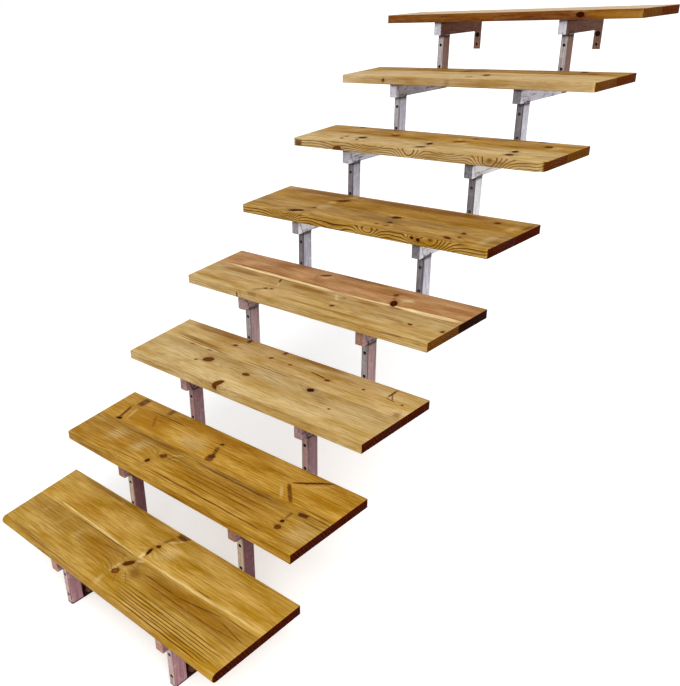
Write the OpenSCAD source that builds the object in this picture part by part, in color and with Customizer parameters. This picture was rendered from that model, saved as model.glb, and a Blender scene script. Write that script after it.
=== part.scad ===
// Open-riser outdoor staircase. Each tread is one timber slab on a pair of folded steel
// brackets. A bracket is an arm under the tread and a post below the arm. A plate closes
// the arm's rear end, and the next bracket's post bolts to it. The two lowest posts stand
// on feet, and the two highest arms end in longer plates, tabs that bolt to a wall.
// Millimetres. +X is to the right of someone walking up, +Y is the way up, +Z is up.
// The origin is on the rear face of the right-hand top tab, at the middle of its arm.

/* [Flight] */
// Number of treads
treads = 8; // [2:1:11]
// Rise from the top of one tread to the top of the next
rise = 180; // [165:1:200]
// Height of the lowest tread's top above the ground
first_rise = 206; // [190:1:240]
// Going from the nose of one tread to the nose of the next
going = 260; // [240:1:275]

/* [Treads] */
// Length of a tread's front edge, across the flight
tread_l = 900; // [600:10:1400]
// How much longer the back edge is, because the left end is cut to a slant
tread_slant = 50; // [0:1:60]
// Depth of a tread, nose to back edge
tread_d = 300; // [290:1:320]
// Thickness of a tread
tread_t = 27; // [22:1:45]
// How far each tread is laid to the right of the one below it
tread_creep = 6; // [-6:1:6]

/* [Brackets] */
// Distance between the centre lines of the two rows of brackets
row_gap = 452; // [300:2:560]
// Outside width of an arm and of a post
bracket_w = 25; // [22:1:40]
// Thickness of the folded sheet
sheet_t = 2.5; // [2:0.5:3]
// Outside radius of the post's front folds
fold_r = 5; // [4:0.5:8]
// Height of an arm
arm_h = 43; // [36:1:50]
// Depth of a post, front to back
post_d = 38; // [30:1:50]

/* [Ends of the arms] */
// Distance from a tread's nose back to the front ends of its arms
arm_set_back = 12; // [0:1:14]
// Thickness of the cap folded round an arm's front end
cap_t = 1.5; // [1:0.5:2]
// Length of the cap's side flap at its top
cap_top_d = 6; // [6:1:10]
// Length of the cap's side flap at its bottom
cap_low_d = 22; // [20:1:26]
// Thickness of the plate at an arm's rear end
plate_t = 5; // [4:0.5:8]
// Length of the highest arms' plates, the tabs, from the arm's top down
tab_h = 106; // [100:1:108]

/* [Holes] */
// Radius of a bolt hole
bolt_r = 4.5; // [3:0.5:5]
// Radius of the large hole in a tab
port_r = 9; // [6:0.5:9]
// Height of a post's upper hole below the arm's lower edge
post_hole_drop = 33; // [25:1:40]
// Distance between a post's two front holes
post_hole_pitch = 72; // [50:1:75]
// Distance of the two bolts that join an arm to the next post from the arm's edges
joint_edge = 11; // [10:1:12]
// Height of the tab's large hole below the arm's top
tab_port_drop = 57; // [55:1:60]
// Height of the tab's bolt hole below the arm's top
tab_bolt_drop = 90; // [80:1:92]

/* [Feet] */
// Length of a foot plate, from the front of its post
foot_l = 94; // [84:1:120]
// Width of a foot plate behind its post
foot_w = 60; // [56:1:90]
// Thickness of a foot plate
foot_t = 4; // [3:1:8]
// Radius of an anchor hole in a foot plate
anchor_r = 5.5; // [4:0.5:6.5]
// Distance from an anchor hole's centre to the side edge of the plate
anchor_edge = 12.5; // [10:0.5:15]

/* [Hidden] */
$fn = 48;
// Overshoot of a cutting tool past the face it cuts
cut = 1;
// Distance from a tread's nose back to the front of its own posts
post_y = tread_d - going;
// Radius of the lowest tread's round nose
nose_r = tread_t / 2;
// Length of the lip that closes an arm's front end from below
lip_d = 12;

// Where tread k and the rows lie in the frame of the whole flight
function nose_y(k) = -tread_d - (treads - k) * going;
function under_z(k) = arm_h / 2 - (treads - k) * rise;
function row_x(side) = side == "left" ? -row_gap : 0;
ground_z = under_z(1) + tread_t - first_rise;

// How far below its arm's top post k reaches: to the foot, or to the lower edge of the arm
// in front of it
function post_end(k) = k == 1 ? first_rise - foot_t - tread_t : rise + arm_h;
// Distances of the joint bolts below the top of the arm that ends there
joint_drops = [joint_edge, arm_h - joint_edge];
// Distances of post k's holes below its arm's top
function post_holes(k) = concat(
    [arm_h + post_hole_drop, arm_h + post_hole_drop + post_hole_pitch],
    k == 1 ? [] : [for (drop = joint_drops) rise + drop]
);

// Outline in plan of a strip w wide and d deep whose two front corners are round
module round_front(w, d, r) {
    translate([-w / 2, r]) square([w, d - r]);
    translate([r - w / 2, 0]) square([w - 2 * r, 2 * r]);
    for (s = [-1, 1]) translate([s * (w / 2 - r), r]) circle(r);
}

// Plan of a sheet of thickness t bent into a channel that is open at the back
module bent_channel(w, d, r, t) {
    difference() {
        round_front(w, d, r);
        translate([0, t]) round_front(w - 2 * t, d, r - t);
    }
}

// Hole along Y through anything between y and y + depth
module hole_y(r, y, z, depth) {
    translate([0, y - cut, z]) rotate([-90, 0, 0]) cylinder(r = r, h = depth + 2 * cut);
}

// Places its children at the nose of tread k, at the middle of its length, with z = 0 on
// the tread's underside. The treads of the middle of the flight are centred on the rows.
module at_tread(k) {
    shift = tread_creep * (k - (treads + 1) / 2);
    translate([shift - row_gap / 2, nose_y(k), under_z(k)]) children();
}

// The same on the centre line of one row of brackets, which runs straight up the flight
module at_row(side, k) {
    translate([row_x(side), nose_y(k), under_z(k)]) children();
}

// Straight slab, longer than a tread by the slant of its left end, with a square or a
// round nose
module slab(nose) {
    long = tread_l + tread_slant;
    translate([-tread_l / 2 - tread_slant, 0, 0]) {
        translate([0, nose, 0]) cube([long, tread_d - nose, tread_t]);
        if (nose > 0)
            translate([0, nose, nose]) rotate([0, 90, 0]) cylinder(r = nose, h = long);
    }
}

// Timber tread, cut from a slab. The lowest one has a round nose.
module tread(k) {
    half = tread_l / 2;
    color("burlywood") at_tread(k) intersection() {
        slab(k == 1 ? nose_r : 0);
        translate([0, 0, -cut]) linear_extrude(tread_t + 2 * cut)
            polygon([[-half, 0], [half, 0], [half, tread_d], [-half - tread_slant, tread_d]]);
    }
}

// Folded cap round the front end of an arm: its side flaps are cut to a slant
module arm_cap() {
    translate([0, arm_set_back, 0]) intersection() {
        translate([0, 0, -arm_h]) linear_extrude(arm_h)
            bent_channel(bracket_w + 2 * cap_t, cap_low_d, 2 * cap_t, cap_t);
        rotate([90, 0, 90]) linear_extrude(bracket_w + 4 * cap_t, center = true)
            polygon([[0, 0], [cap_top_d, 0], [cap_low_d, -arm_h], [0, -arm_h]]);
    }
    translate([-bracket_w / 2, arm_set_back + cap_t, -arm_h]) cube([bracket_w, lip_d, cap_t]);
}

// Channel that carries the tread, open below
module arm_channel() {
    start = arm_set_back + cap_t;
    length = tread_d - plate_t - start;
    translate([-bracket_w / 2, start, -arm_h]) difference() {
        cube([bracket_w, length, arm_h]);
        translate([sheet_t, -cut, -cut])
            cube([bracket_w - 2 * sheet_t, length + 2 * cut, arm_h - sheet_t + cut]);
    }
}

// Flat plate that closes an arm's rear end, with a bolt hole at each of some distances
// below the arm's top
module end_plate(height, drops) {
    translate([0, tread_d - plate_t, 0]) difference() {
        translate([-bracket_w / 2, 0, -height]) cube([bracket_w, plate_t, height]);
        for (drop = drops) hole_y(bolt_r, 0, -drop, plate_t);
    }
}

// The highest arms' plate, which hangs below the arm and has a large hole as well
module wall_tab() {
    difference() {
        end_plate(tab_h, [tab_bolt_drop]);
        hole_y(port_r, tread_d - plate_t, -tab_port_drop, plate_t);
    }
}

module arm(side, k) {
    color("silver") at_row(side, k) {
        arm_cap();
        arm_channel();
        if (k == treads) wall_tab();
        else end_plate(arm_h, joint_drops);
    }
}

// Channel that stands below an arm, with a tongue that runs up inside the arm
module post(side, k) {
    color("lightsteelblue") at_row(side, k) difference() {
        union() {
            translate([0, post_y, -post_end(k)]) linear_extrude(post_end(k) - arm_h)
                bent_channel(bracket_w, post_d, fold_r, sheet_t);
            translate([sheet_t - bracket_w / 2, post_y, -arm_h - fold_r])
                cube([bracket_w - 2 * sheet_t, sheet_t, arm_h + fold_r - sheet_t]);
        }
        for (drop = post_holes(k)) hole_y(bolt_r, post_y, -drop, sheet_t);
    }
}

// Ground plate under a lowest post. Behind the post it widens to the left, where two
// anchor holes go through it. Both feet are alike, not mirrored.
module foot(side) {
    right_edge = bracket_w / 2;
    left_edge = right_edge - foot_w;
    color("slategray") translate([row_x(side), nose_y(1) + post_y, ground_z]) difference() {
        linear_extrude(foot_t) {
            round_front(bracket_w, foot_l, fold_r);
            translate([left_edge, post_d]) square([foot_w, foot_l - post_d]);
        }
        for (x = [left_edge + anchor_edge, right_edge - anchor_edge])
            translate([x, (post_d + foot_l) / 2, -cut])
                cylinder(r = anchor_r, h = foot_t + 2 * cut);
    }
}

for (k = [1 : treads]) {
    tread(k);
    for (side = ["left", "right"]) {
        arm(side, k);
        post(side, k);
    }
}
for (side = ["left", "right"])
    foot(side);
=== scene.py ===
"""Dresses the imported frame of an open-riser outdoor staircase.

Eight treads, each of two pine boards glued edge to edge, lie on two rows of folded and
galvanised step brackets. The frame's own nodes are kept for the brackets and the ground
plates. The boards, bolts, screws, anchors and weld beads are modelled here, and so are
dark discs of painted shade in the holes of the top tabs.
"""

import logging
from dataclasses import dataclass, field
from enum import Enum
from math import radians
from typing import Callable, Iterable

import bpy
from mathutils import Matrix, Vector


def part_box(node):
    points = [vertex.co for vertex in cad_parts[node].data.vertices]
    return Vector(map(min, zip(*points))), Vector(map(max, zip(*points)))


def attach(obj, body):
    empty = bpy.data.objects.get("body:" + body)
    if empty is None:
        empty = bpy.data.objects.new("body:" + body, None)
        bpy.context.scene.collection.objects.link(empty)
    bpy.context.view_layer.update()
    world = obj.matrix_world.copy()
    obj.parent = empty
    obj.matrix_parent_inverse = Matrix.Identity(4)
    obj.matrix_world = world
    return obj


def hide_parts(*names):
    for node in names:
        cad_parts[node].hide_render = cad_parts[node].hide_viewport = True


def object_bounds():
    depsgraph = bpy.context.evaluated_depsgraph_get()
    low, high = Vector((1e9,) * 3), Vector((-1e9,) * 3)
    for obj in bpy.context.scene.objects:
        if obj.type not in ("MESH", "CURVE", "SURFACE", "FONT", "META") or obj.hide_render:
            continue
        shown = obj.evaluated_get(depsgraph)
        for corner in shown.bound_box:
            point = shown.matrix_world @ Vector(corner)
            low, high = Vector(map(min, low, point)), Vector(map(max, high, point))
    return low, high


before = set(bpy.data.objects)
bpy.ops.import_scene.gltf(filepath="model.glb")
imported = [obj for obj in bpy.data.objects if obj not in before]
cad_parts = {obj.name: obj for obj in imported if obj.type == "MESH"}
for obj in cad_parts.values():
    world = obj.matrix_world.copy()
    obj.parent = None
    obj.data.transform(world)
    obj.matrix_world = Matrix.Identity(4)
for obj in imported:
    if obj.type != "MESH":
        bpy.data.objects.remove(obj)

CAD_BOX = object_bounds()
MM = 0.001
BODY = "root"
TREADS = sum(name.startswith("tread_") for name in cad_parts)
SIDES = ("left", "right")
ZERO = (0.0, 0.0, 0.0)
UNIT = (MM, MM, MM)
BACK = Vector((0.0, 1.0, 0.0))
UP = Vector((0.0, 0.0, 1.0))
SAME_WAY = 0.99  # least dot product of two unit vectors that count as pointing one way
RELIEF = (0.3, 0.1 * MM)  # strength and depth of the bumps in steel and rubber
NUT_SIDES = 6
SHANK_SIDES = 16
DISC_SIDES = 24

Piece = bpy.types.Object
Material = bpy.types.Material
Tree = bpy.types.NodeTree
Node = bpy.types.Node
Socket = bpy.types.NodeSocket
Feed = float | tuple[float, ...] | Socket
Triple = tuple[float, float, float]
Span = tuple[float, ...]
Box = tuple[Vector, Vector]
Choice = Callable[[Vector, Vector], bool]

log = logging.getLogger("staircase")

# ------------------------------------------------------------------ modelling helpers


def leave() -> None:
    """Goes back to object mode."""
    bpy.ops.object.mode_set(mode="OBJECT")


def clear_selection() -> None:
    """Leaves nothing selected, so that the next operator acts on the new piece only."""
    if bpy.context.object and bpy.context.object.mode != "OBJECT":
        leave()
    bpy.ops.object.select_all(action="DESELECT")


def take(piece: Piece) -> None:
    """Makes one object the only selected and active one.

    Args:
        piece: The object.
    """
    clear_selection()
    piece.select_set(True)
    bpy.context.view_layer.objects.active = piece


def settle(piece: Piece) -> Piece:
    """Moves an object's place, turn and scale into its mesh.

    Args:
        piece: The object.

    Returns:
        The same object.
    """
    take(piece)
    bpy.ops.object.transform_apply(location=True, rotation=True, scale=True)
    return piece


def block(name: str, low: Vector, high: Vector) -> Piece:
    """Adds a box.

    Args:
        name: Name of the new object.
        low: Its lowest corner.
        high: Its highest corner.

    Returns:
        The box, with its place in its mesh.
    """
    clear_selection()
    bpy.ops.mesh.primitive_cube_add(size=1, location=(low + high) / 2)
    piece = bpy.context.object
    piece.name = name
    piece.scale = high - low
    return settle(piece)


def rod(name: str, sides: int, radius: float, start: Vector, end: Vector) -> Piece:
    """Adds a straight prism or cylinder between the centres of its ends.

    Args:
        name: Name of the new object.
        sides: Number of sides.
        radius: Radius to the corners, in metres.
        start: Centre of one end.
        end: Centre of the other end.

    Returns:
        The rod, with its place in its mesh.
    """
    clear_selection()
    axis = end - start
    bpy.ops.mesh.primitive_cylinder_add(
        vertices=sides, radius=radius, depth=axis.length, location=(start + end) / 2
    )
    piece = bpy.context.object
    piece.name = name
    piece.rotation_euler = axis.to_track_quat("Z", "Y").to_euler()
    return settle(piece)


def pick(piece: Piece, wanted: Choice, faces: bool = False) -> None:
    """Enters edit mode with some of a piece's edges or faces selected.

    Args:
        piece: The object to edit.
        wanted: Takes an element's middle and its direction, an edge's line or a face's
            normal, and says whether it is selected.
        faces: True to pick faces.
    """
    take(piece)
    bpy.ops.object.mode_set(mode="EDIT")
    bpy.ops.mesh.select_mode(type="FACE" if faces else "EDGE")
    bpy.ops.mesh.select_all(action="DESELECT")
    leave()
    mesh = piece.data
    if faces:
        for face in mesh.polygons:
            face.select = wanted(face.center, face.normal)
    else:
        for edge in mesh.edges:
            start, end = (mesh.vertices[i].co for i in edge.vertices)
            edge.select = wanted((start + end) / 2, (end - start).normalized())
    bpy.ops.object.mode_set(mode="EDIT")


def bevel(piece: Piece, wanted: Choice, offset: float, segments: int) -> None:
    """Bevels some of a piece's edges.

    Args:
        piece: The piece to bevel.
        wanted: Says of each edge whether it is bevelled, as in pick.
        offset: Width of the bevel, in metres.
        segments: Number of steps in the bevel.
    """
    pick(piece, wanted)
    bpy.ops.mesh.bevel(offset=offset, segments=segments, affect="EDGES")
    leave()


def chamfer(piece: Piece, offset: float, segments: int, normal: Vector) -> None:
    """Bevels the rim of the flat faces that point one way.

    Args:
        piece: The piece to bevel.
        offset: Width of the bevel, in metres.
        segments: Number of steps in the bevel.
        normal: Where the faces point.
    """
    pick(piece, lambda _, way: way.dot(normal) > SAME_WAY, faces=True)
    bpy.ops.mesh.region_to_loop()
    bpy.ops.mesh.bevel(offset=offset, segments=segments, affect="EDGES")
    leave()


def hollow_out(piece: Piece, rim: float, depth: float, normal: Vector) -> None:
    """Sinks a recess into the flat faces that point one way.

    Args:
        piece: The piece to cut.
        rim: Width of the rim that is left round the recess, in metres.
        depth: Depth of the recess, in metres.
        normal: Where the faces point.
    """
    pick(piece, lambda _, way: way.dot(normal) > SAME_WAY, faces=True)
    bpy.ops.mesh.inset(thickness=rim)
    bpy.ops.mesh.extrude_region_move(TRANSFORM_OT_translate={"value": -depth * normal})
    leave()


def join(name: str, pieces: list[Piece], angle: float = 35.0) -> Piece:
    """Joins objects into the first of them and shades it smooth.

    Args:
        name: Name of the joined object.
        pieces: The objects.
        angle: Least turn of an edge that stays sharp, in degrees.

    Returns:
        The joined object.
    """
    take(pieces[0])
    for piece in pieces:
        piece.select_set(True)
    if len(pieces) > 1:
        bpy.ops.object.join()
    pieces[0].name = name
    bpy.ops.object.shade_smooth_by_angle(angle=radians(angle))
    return pieces[0]


def copy_to(pattern: Piece, name: str, shift: Vector) -> Piece:
    """Copies a piece with its own mesh and moves the copy.

    Args:
        pattern: The piece to copy.
        name: Name of the copy.
        shift: How far the copy is moved, in metres.

    Returns:
        The copy, with its place in its mesh.
    """
    twin = pattern.copy()
    twin.data = pattern.data.copy()
    twin.name = twin.data.name = name
    bpy.context.collection.objects.link(twin)
    twin.location = shift
    return settle(twin)


def finish_piece(piece: Piece, finish: Material) -> Piece:
    """Gives a new piece its finish and its body.

    Args:
        piece: The piece.
        finish: Its material.

    Returns:
        The same piece.
    """
    piece.data.materials.clear()
    piece.data.materials.append(finish)
    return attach(piece, BODY)


def dress_node(name: str, finish: Material) -> None:
    """Gives one of the frame's own nodes its finish."""
    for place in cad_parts[name].material_slots:
        place.material = finish


# ------------------------------------------------------------------- node tree helpers


def shade(colour: Triple) -> tuple[float, float, float, float]:
    """Turns a colour as it looks on a screen into the linear one that a shader takes."""
    linear = [c / 12.92 if c <= 0.04045 else ((c + 0.055) / 1.055) ** 2.4 for c in colour]
    return (*linear, 1.0)


class Bench:
    """Adds nodes to one node tree and feeds their sockets with numbers or links."""

    def __init__(self, tree: Tree) -> None:
        """Keeps the tree that nodes are added to."""
        self.tree = tree

    def put(self, kind: str, feeds: dict[str | int, Feed] | None = None, **settings: object) -> Node:
        """Adds one node.

        Args:
            kind: Blender's name for the node's type.
            feeds: What goes into its sockets, by name or number.
            settings: Properties to set on the node.

        Returns:
            The new node.
        """
        node = self.tree.nodes.new(kind)
        for name, value in settings.items():
            setattr(node, name, value)
        for key, feed in (feeds or {}).items():
            if isinstance(feed, Socket):
                self.tree.links.new(feed, node.inputs[key])
            else:
                node.inputs[key].default_value = feed
        return node

    def math(self, operation: str, *feeds: Feed, clamp: bool = False) -> Socket:
        """Adds a Math node and returns its output."""
        feeding = dict(enumerate(feeds))
        return self.put("ShaderNodeMath", feeding, operation=operation, use_clamp=clamp).outputs[0]

    def times(self, *feeds: Feed, clamp: bool = False) -> Socket:
        """Multiplies two numbers."""
        return self.math("MULTIPLY", *feeds, clamp=clamp)

    def linear(self, value: Feed, by: Feed, plus: Feed, clamp: bool = False) -> Socket:
        """Multiplies a number and adds to it."""
        return self.math("MULTIPLY_ADD", value, by, plus, clamp=clamp)

    def most(self, first: Feed, second: Feed) -> Socket:
        """Gives the greater of two numbers."""
        return self.math("MAXIMUM", first, second)

    def vector(self, operation: str, *feeds: Feed) -> Socket:
        """Adds a Vector Math node and returns its vector output."""
        return self.put("ShaderNodeVectorMath", dict(enumerate(feeds)), operation=operation).outputs[0]

    def length(self, feed: Feed) -> Socket:
        """Measures a vector's length."""
        return self.put("ShaderNodeVectorMath", {0: feed}, operation="LENGTH").outputs["Value"]

    def scaled(self, feed: Feed, by: Feed) -> Socket:
        """Scales a vector by a number."""
        return self.put("ShaderNodeVectorMath", {0: feed, "Scale": by}, operation="SCALE").outputs[0]

    def combine(self, x: Feed, y: Feed, z: Feed) -> Socket:
        """Makes a vector from three numbers."""
        return self.put("ShaderNodeCombineXYZ", {0: x, 1: y, 2: z}).outputs[0]

    def split(self, feed: Feed) -> tuple[Socket, ...]:
        """Takes a vector apart into three numbers."""
        return tuple(self.put("ShaderNodeSeparateXYZ", {0: feed}).outputs)

    def placed(self, point: Feed, centre: Feed = ZERO, size: Feed = UNIT, turn: Feed = ZERO) -> Socket:
        """Measures a point from a centre, in units of a size."""
        feeds = {"Vector": point, "Location": centre, "Rotation": turn, "Scale": size}
        return self.put("ShaderNodeMapping", feeds, vector_type="TEXTURE").outputs[0]

    def noise(self, point: Feed, scale: float = 1.0, detail: float = 2.0, rough: float = 0.5) -> Node:
        """Adds a Noise node. Output 0 is its value and output 1 its three values as a vector."""
        feeds = {"Vector": point, "Scale": scale, "Detail": detail, "Roughness": rough}
        return self.put("ShaderNodeTexNoise", feeds)

    def span(self, value: Feed, low: Feed, high: Feed, to_low: Feed = 0.0, to_high: Feed = 1.0) -> Socket:
        """Maps low..high to to_low..to_high, clamped and with soft ends."""
        feeds = {0: value, 1: low, 2: high, 3: to_low, 4: to_high}
        return self.put("ShaderNodeMapRange", feeds, interpolation_type="SMOOTHSTEP").outputs[0]

    def near(self, value: Feed, middle: float, reach: float, soft: float) -> Socket:
        """Gives 1 within reach of a middle value and fades to 0 beyond it."""
        away = self.math("ABSOLUTE", self.math("SUBTRACT", value, middle))
        return self.span(away, reach + soft, reach)

    def blend(self, factor: Feed, first: Feed, second: Feed) -> Socket:
        """Mixes two colours."""
        return self.put("ShaderNodeMix", {0: factor, 6: first, 7: second}, data_type="RGBA").outputs[2]

    def swap(self, factor: Feed, first: Feed, second: Feed) -> Socket:
        """Mixes two vectors."""
        return self.put("ShaderNodeMix", {0: factor, 4: first, 5: second}, data_type="VECTOR").outputs[1]

    def ramp(self, value: Feed, stops: Iterable[tuple[float, float]]) -> Socket:
        """Adds a grey Color Ramp.

        Args:
            value: What is looked up in the ramp.
            stops: Position and brightness of each stop, in order.

        Returns:
            The brightness at the value.
        """
        node = self.put("ShaderNodeValToRGB", {0: value})
        elements = node.color_ramp.elements
        for index, (place, level) in enumerate(stops):
            stop = elements[index] if index < len(elements) else elements.new(place)
            stop.position = place
            stop.color = (level, level, level, 1.0)
        return node.outputs[0]

    def surface(self, bump: tuple[float, float, Feed], feeds: dict[str, Feed]) -> None:
        """Ends a material in a Principled shader.

        Args:
            bump: Strength, depth in metres and height of its relief.
            feeds: What goes into the shader's other sockets.
        """
        relief = self.put("ShaderNodeBump", dict(zip(("Strength", "Distance", "Height"), bump)))
        shader = self.put("ShaderNodeBsdfPrincipled", feeds | {"Normal": relief.outputs[0]})
        self.put("ShaderNodeOutputMaterial", {0: shader.outputs[0]})


def new_group(name: str, vectors: str, numbers: str, gives: str) -> tuple[Bench, dict, dict]:
    """Starts a shared node group.

    Args:
        name: Name of the group.
        vectors: Names of its inputs that are vectors.
        numbers: Names of its inputs that are numbers.
        gives: Names of its outputs, which are vectors.

    Returns:
        A bench on the group's tree, its inputs by name, and the sockets that its outputs
        are fed through, by name.
    """
    tree = bpy.data.node_groups.new(name, "ShaderNodeTree")
    sorts = ((vectors, "INPUT", "Vector"), (numbers, "INPUT", "Float"), (gives, "OUTPUT", "Vector"))
    for labels, way, kind in sorts:
        for label in labels.split():
            tree.interface.new_socket(label, in_out=way, socket_type=f"NodeSocket{kind}")
    bench = Bench(tree)
    entry = bench.put("NodeGroupInput").outputs
    leaving = bench.put("NodeGroupOutput").inputs
    takes = (*vectors.split(), *numbers.split())
    return bench, {n: entry[n] for n in takes}, {n: leaving[n] for n in gives.split()}


def new_material(name: str) -> tuple[Material, Bench]:
    """Starts a material with an empty tree.

    Args:
        name: Name of the material.

    Returns:
        The material, and a bench on its tree.
    """
    material = bpy.data.materials.new(name)
    material.use_nodes = True
    material.node_tree.nodes.clear()
    return material, Bench(material.node_tree)


# ---------------------------------------------------------------------------- the pine


@dataclass(frozen=True)
class WoodColours:
    """The colours of one board's wood, as they look on a screen."""

    pale: Triple
    deep: Triple
    line: Triple


class PineTone(Enum):
    """The tones that the boards of the flight come in."""

    OLIVE_GOLD = WoodColours((0.85, 0.69, 0.36), (0.68, 0.50, 0.07), (0.47, 0.29, 0.01))
    DARK_GOLD = WoodColours((0.82, 0.64, 0.28), (0.64, 0.45, 0.03), (0.38, 0.21, 0.01))
    TAN = WoodColours((0.88, 0.77, 0.55), (0.74, 0.59, 0.30), (0.46, 0.29, 0.07))
    PINK_TAN = WoodColours((0.81, 0.63, 0.44), (0.63, 0.42, 0.21), (0.38, 0.20, 0.06))
    BROWN_TAN = WoodColours((0.80, 0.63, 0.32), (0.57, 0.40, 0.09), (0.34, 0.18, 0.02))
    PALE_TAN = WoodColours((0.88, 0.77, 0.58), (0.76, 0.62, 0.37), (0.52, 0.36, 0.12))
    CREAM = WoodColours((0.91, 0.83, 0.72), (0.82, 0.70, 0.53), (0.62, 0.46, 0.28))
    AMBER = WoodColours((0.53, 0.30, 0.02), (0.39, 0.16, 0.00), (0.22, 0.08, 0.00))


class EndTone(Enum):
    """The tones of the cut ends."""

    DARK_RED = WoodColours((0.44, 0.18, 0.04), (0.22, 0.04, 0.01), (0.10, 0.01, 0.01))
    RED_BROWN = WoodColours((0.50, 0.28, 0.06), (0.33, 0.14, 0.02), (0.17, 0.05, 0.01))
    GOLDEN_BROWN = WoodColours((0.56, 0.37, 0.12), (0.38, 0.21, 0.03), (0.21, 0.09, 0.01))
    NEAR_BLACK = WoodColours((0.24, 0.11, 0.04), (0.13, 0.05, 0.02), (0.06, 0.02, 0.01))


@dataclass(frozen=True)
class Knot:
    """Where a branch grew through a board.

    Lengths are in millimetres. x is measured from the middle of the tread's front edge, y
    from its nose and z from its underside. Wide and tall are the knot's lengths on the
    top face, before it is turned by lean degrees. Swirl says how many times its own
    radius it lifts the rings round it. A knot whose dark is 0 only turns the grain.
    """

    x: float
    y: float
    wide: float
    tall: float = 0.0
    lean: float = 0.0
    dark: float = 0.6
    swirl: float = 0.5
    z: float = 13.0
    deep: float = 600.0


@dataclass(frozen=True)
class Mark:
    """A streak, band, stained patch or crack in a board, measured as a knot is.

    A negative light darkens the wood and a positive one makes it paler. Warm turns it to
    amber. A soft mark fades from its middle, and a hard one only at its rim. A few marks
    paint light: pale bands across the grain are painted sheen, and a dark band along the
    lower rim of a front edge is painted shade.
    """

    x: float
    y: float
    long: float
    wide: float
    light: float
    soft: float = 0.5
    lean: float = 0.0
    warm: float = 0.0
    z: float = 13.0
    deep: float = 600.0


def build_knot_group() -> Tree:
    """Makes the group that lays one knot into a board.

    Pull carries how far the grain is pushed aside, how far its rings are lifted and how
    dark the wood is round the knots. Look carries the knots' cover, the place from the
    middle of a knot to its rim, and its darkness. The knot ends softly at its rim and has
    a halo, both in its own radii. Stretch makes the turned grain longer along the board.

    Returns:
        The group's node tree.
    """
    rim = (1.1, 0.8)
    halo = (2.4, 0.9, 0.0, 0.3)
    stretch = (0.32, 0.62, 0.62)
    push = 0.8
    least_dark = 0.05
    bench, given, out = new_group(
        "pine_knot", "Point Pull Look Centre Turn Size", "Ragged Dark Swirl", "Pull Look"
    )
    local = bench.placed(given["Point"], given["Centre"], given["Size"], given["Turn"])
    distance = bench.math("ADD", bench.length(local), given["Ragged"])
    shown = bench.times(given["Dark"], 1.0 / least_dark, clamp=True)
    cover = bench.times(bench.span(distance, *rim), shown)
    look = bench.swap(cover, given["Look"], bench.combine(1.0, distance, given["Dark"]))

    offset = bench.vector("SUBTRACT", given["Point"], given["Centre"])
    wide, tall, deep = bench.split(given["Size"])
    radius = bench.linear(bench.math("ADD", wide, tall), 0.5, 1.0)
    spread = bench.vector("MULTIPLY", offset, stretch)
    reach = bench.length(bench.vector("DIVIDE", spread, bench.combine(radius, radius, deep)))
    fall = bench.math("EXPONENT", bench.times(bench.math("POWER", reach, 2.0), -1.0))
    aside = bench.times(bench.split(offset)[1], -push)
    lift = bench.times(radius, given["Swirl"])
    gloom = bench.times(bench.span(distance, *halo), given["Dark"])
    pull = bench.scaled(bench.combine(aside, lift, 0.0), fall)
    pull = bench.vector("ADD", pull, bench.combine(0.0, 0.0, gloom))
    pull = bench.vector("ADD", pull, given["Pull"])
    bench.tree.links.new(pull, out["Pull"])
    bench.tree.links.new(look, out["Look"])
    return bench.tree


def build_mark_group() -> Tree:
    """Makes the group that lays one streak, band or crack into a board.

    Returns:
        The group's node tree.
    """
    bench, given, out = new_group(
        "pine_mark", "Point Stain Centre Turn Size Strength", "Ragged Core", "Stain"
    )
    local = bench.placed(given["Point"], given["Centre"], given["Size"], given["Turn"])
    distance = bench.math("SQRT", bench.length(bench.vector("MULTIPLY", local, local)))
    share = bench.span(bench.math("ADD", distance, given["Ragged"]), 1.0, given["Core"])
    stain_and_light = bench.vector("ADD", bench.scaled(given["Strength"], share), given["Stain"])
    bench.tree.links.new(stain_and_light, out["Stain"])
    return bench.tree


@dataclass(frozen=True)
class BoardFigure:
    """How one board was cut from its log, and what shows in it.

    Lengths are in millimetres. The pith is the middle of the log, given by its distance
    from the tread's nose and from its underside. Drift is how far the pith moves towards
    each of these over one metre of the board's length. Even is how alike the years are,
    from 0 to 1. Top is how strongly the rings show on the upper face, and edge_lines on
    the front edge. Edge is the tone of the front edge where it isn't that of the board.
    """

    tone: PineTone
    pith: tuple[float, float]
    drift: tuple[float, float]
    ring: float = 10.0
    wave: float = 9.0
    even: float = 0.1
    contrast: float = 1.0
    top: float = 1.0
    edge_lines: float = 1.0
    edge: PineTone | None = None
    seed: float = 0.0
    end: EndTone = EndTone.DARK_RED
    knots: tuple[Knot, ...] = ()
    marks: tuple[Mark, ...] = ()


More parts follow.
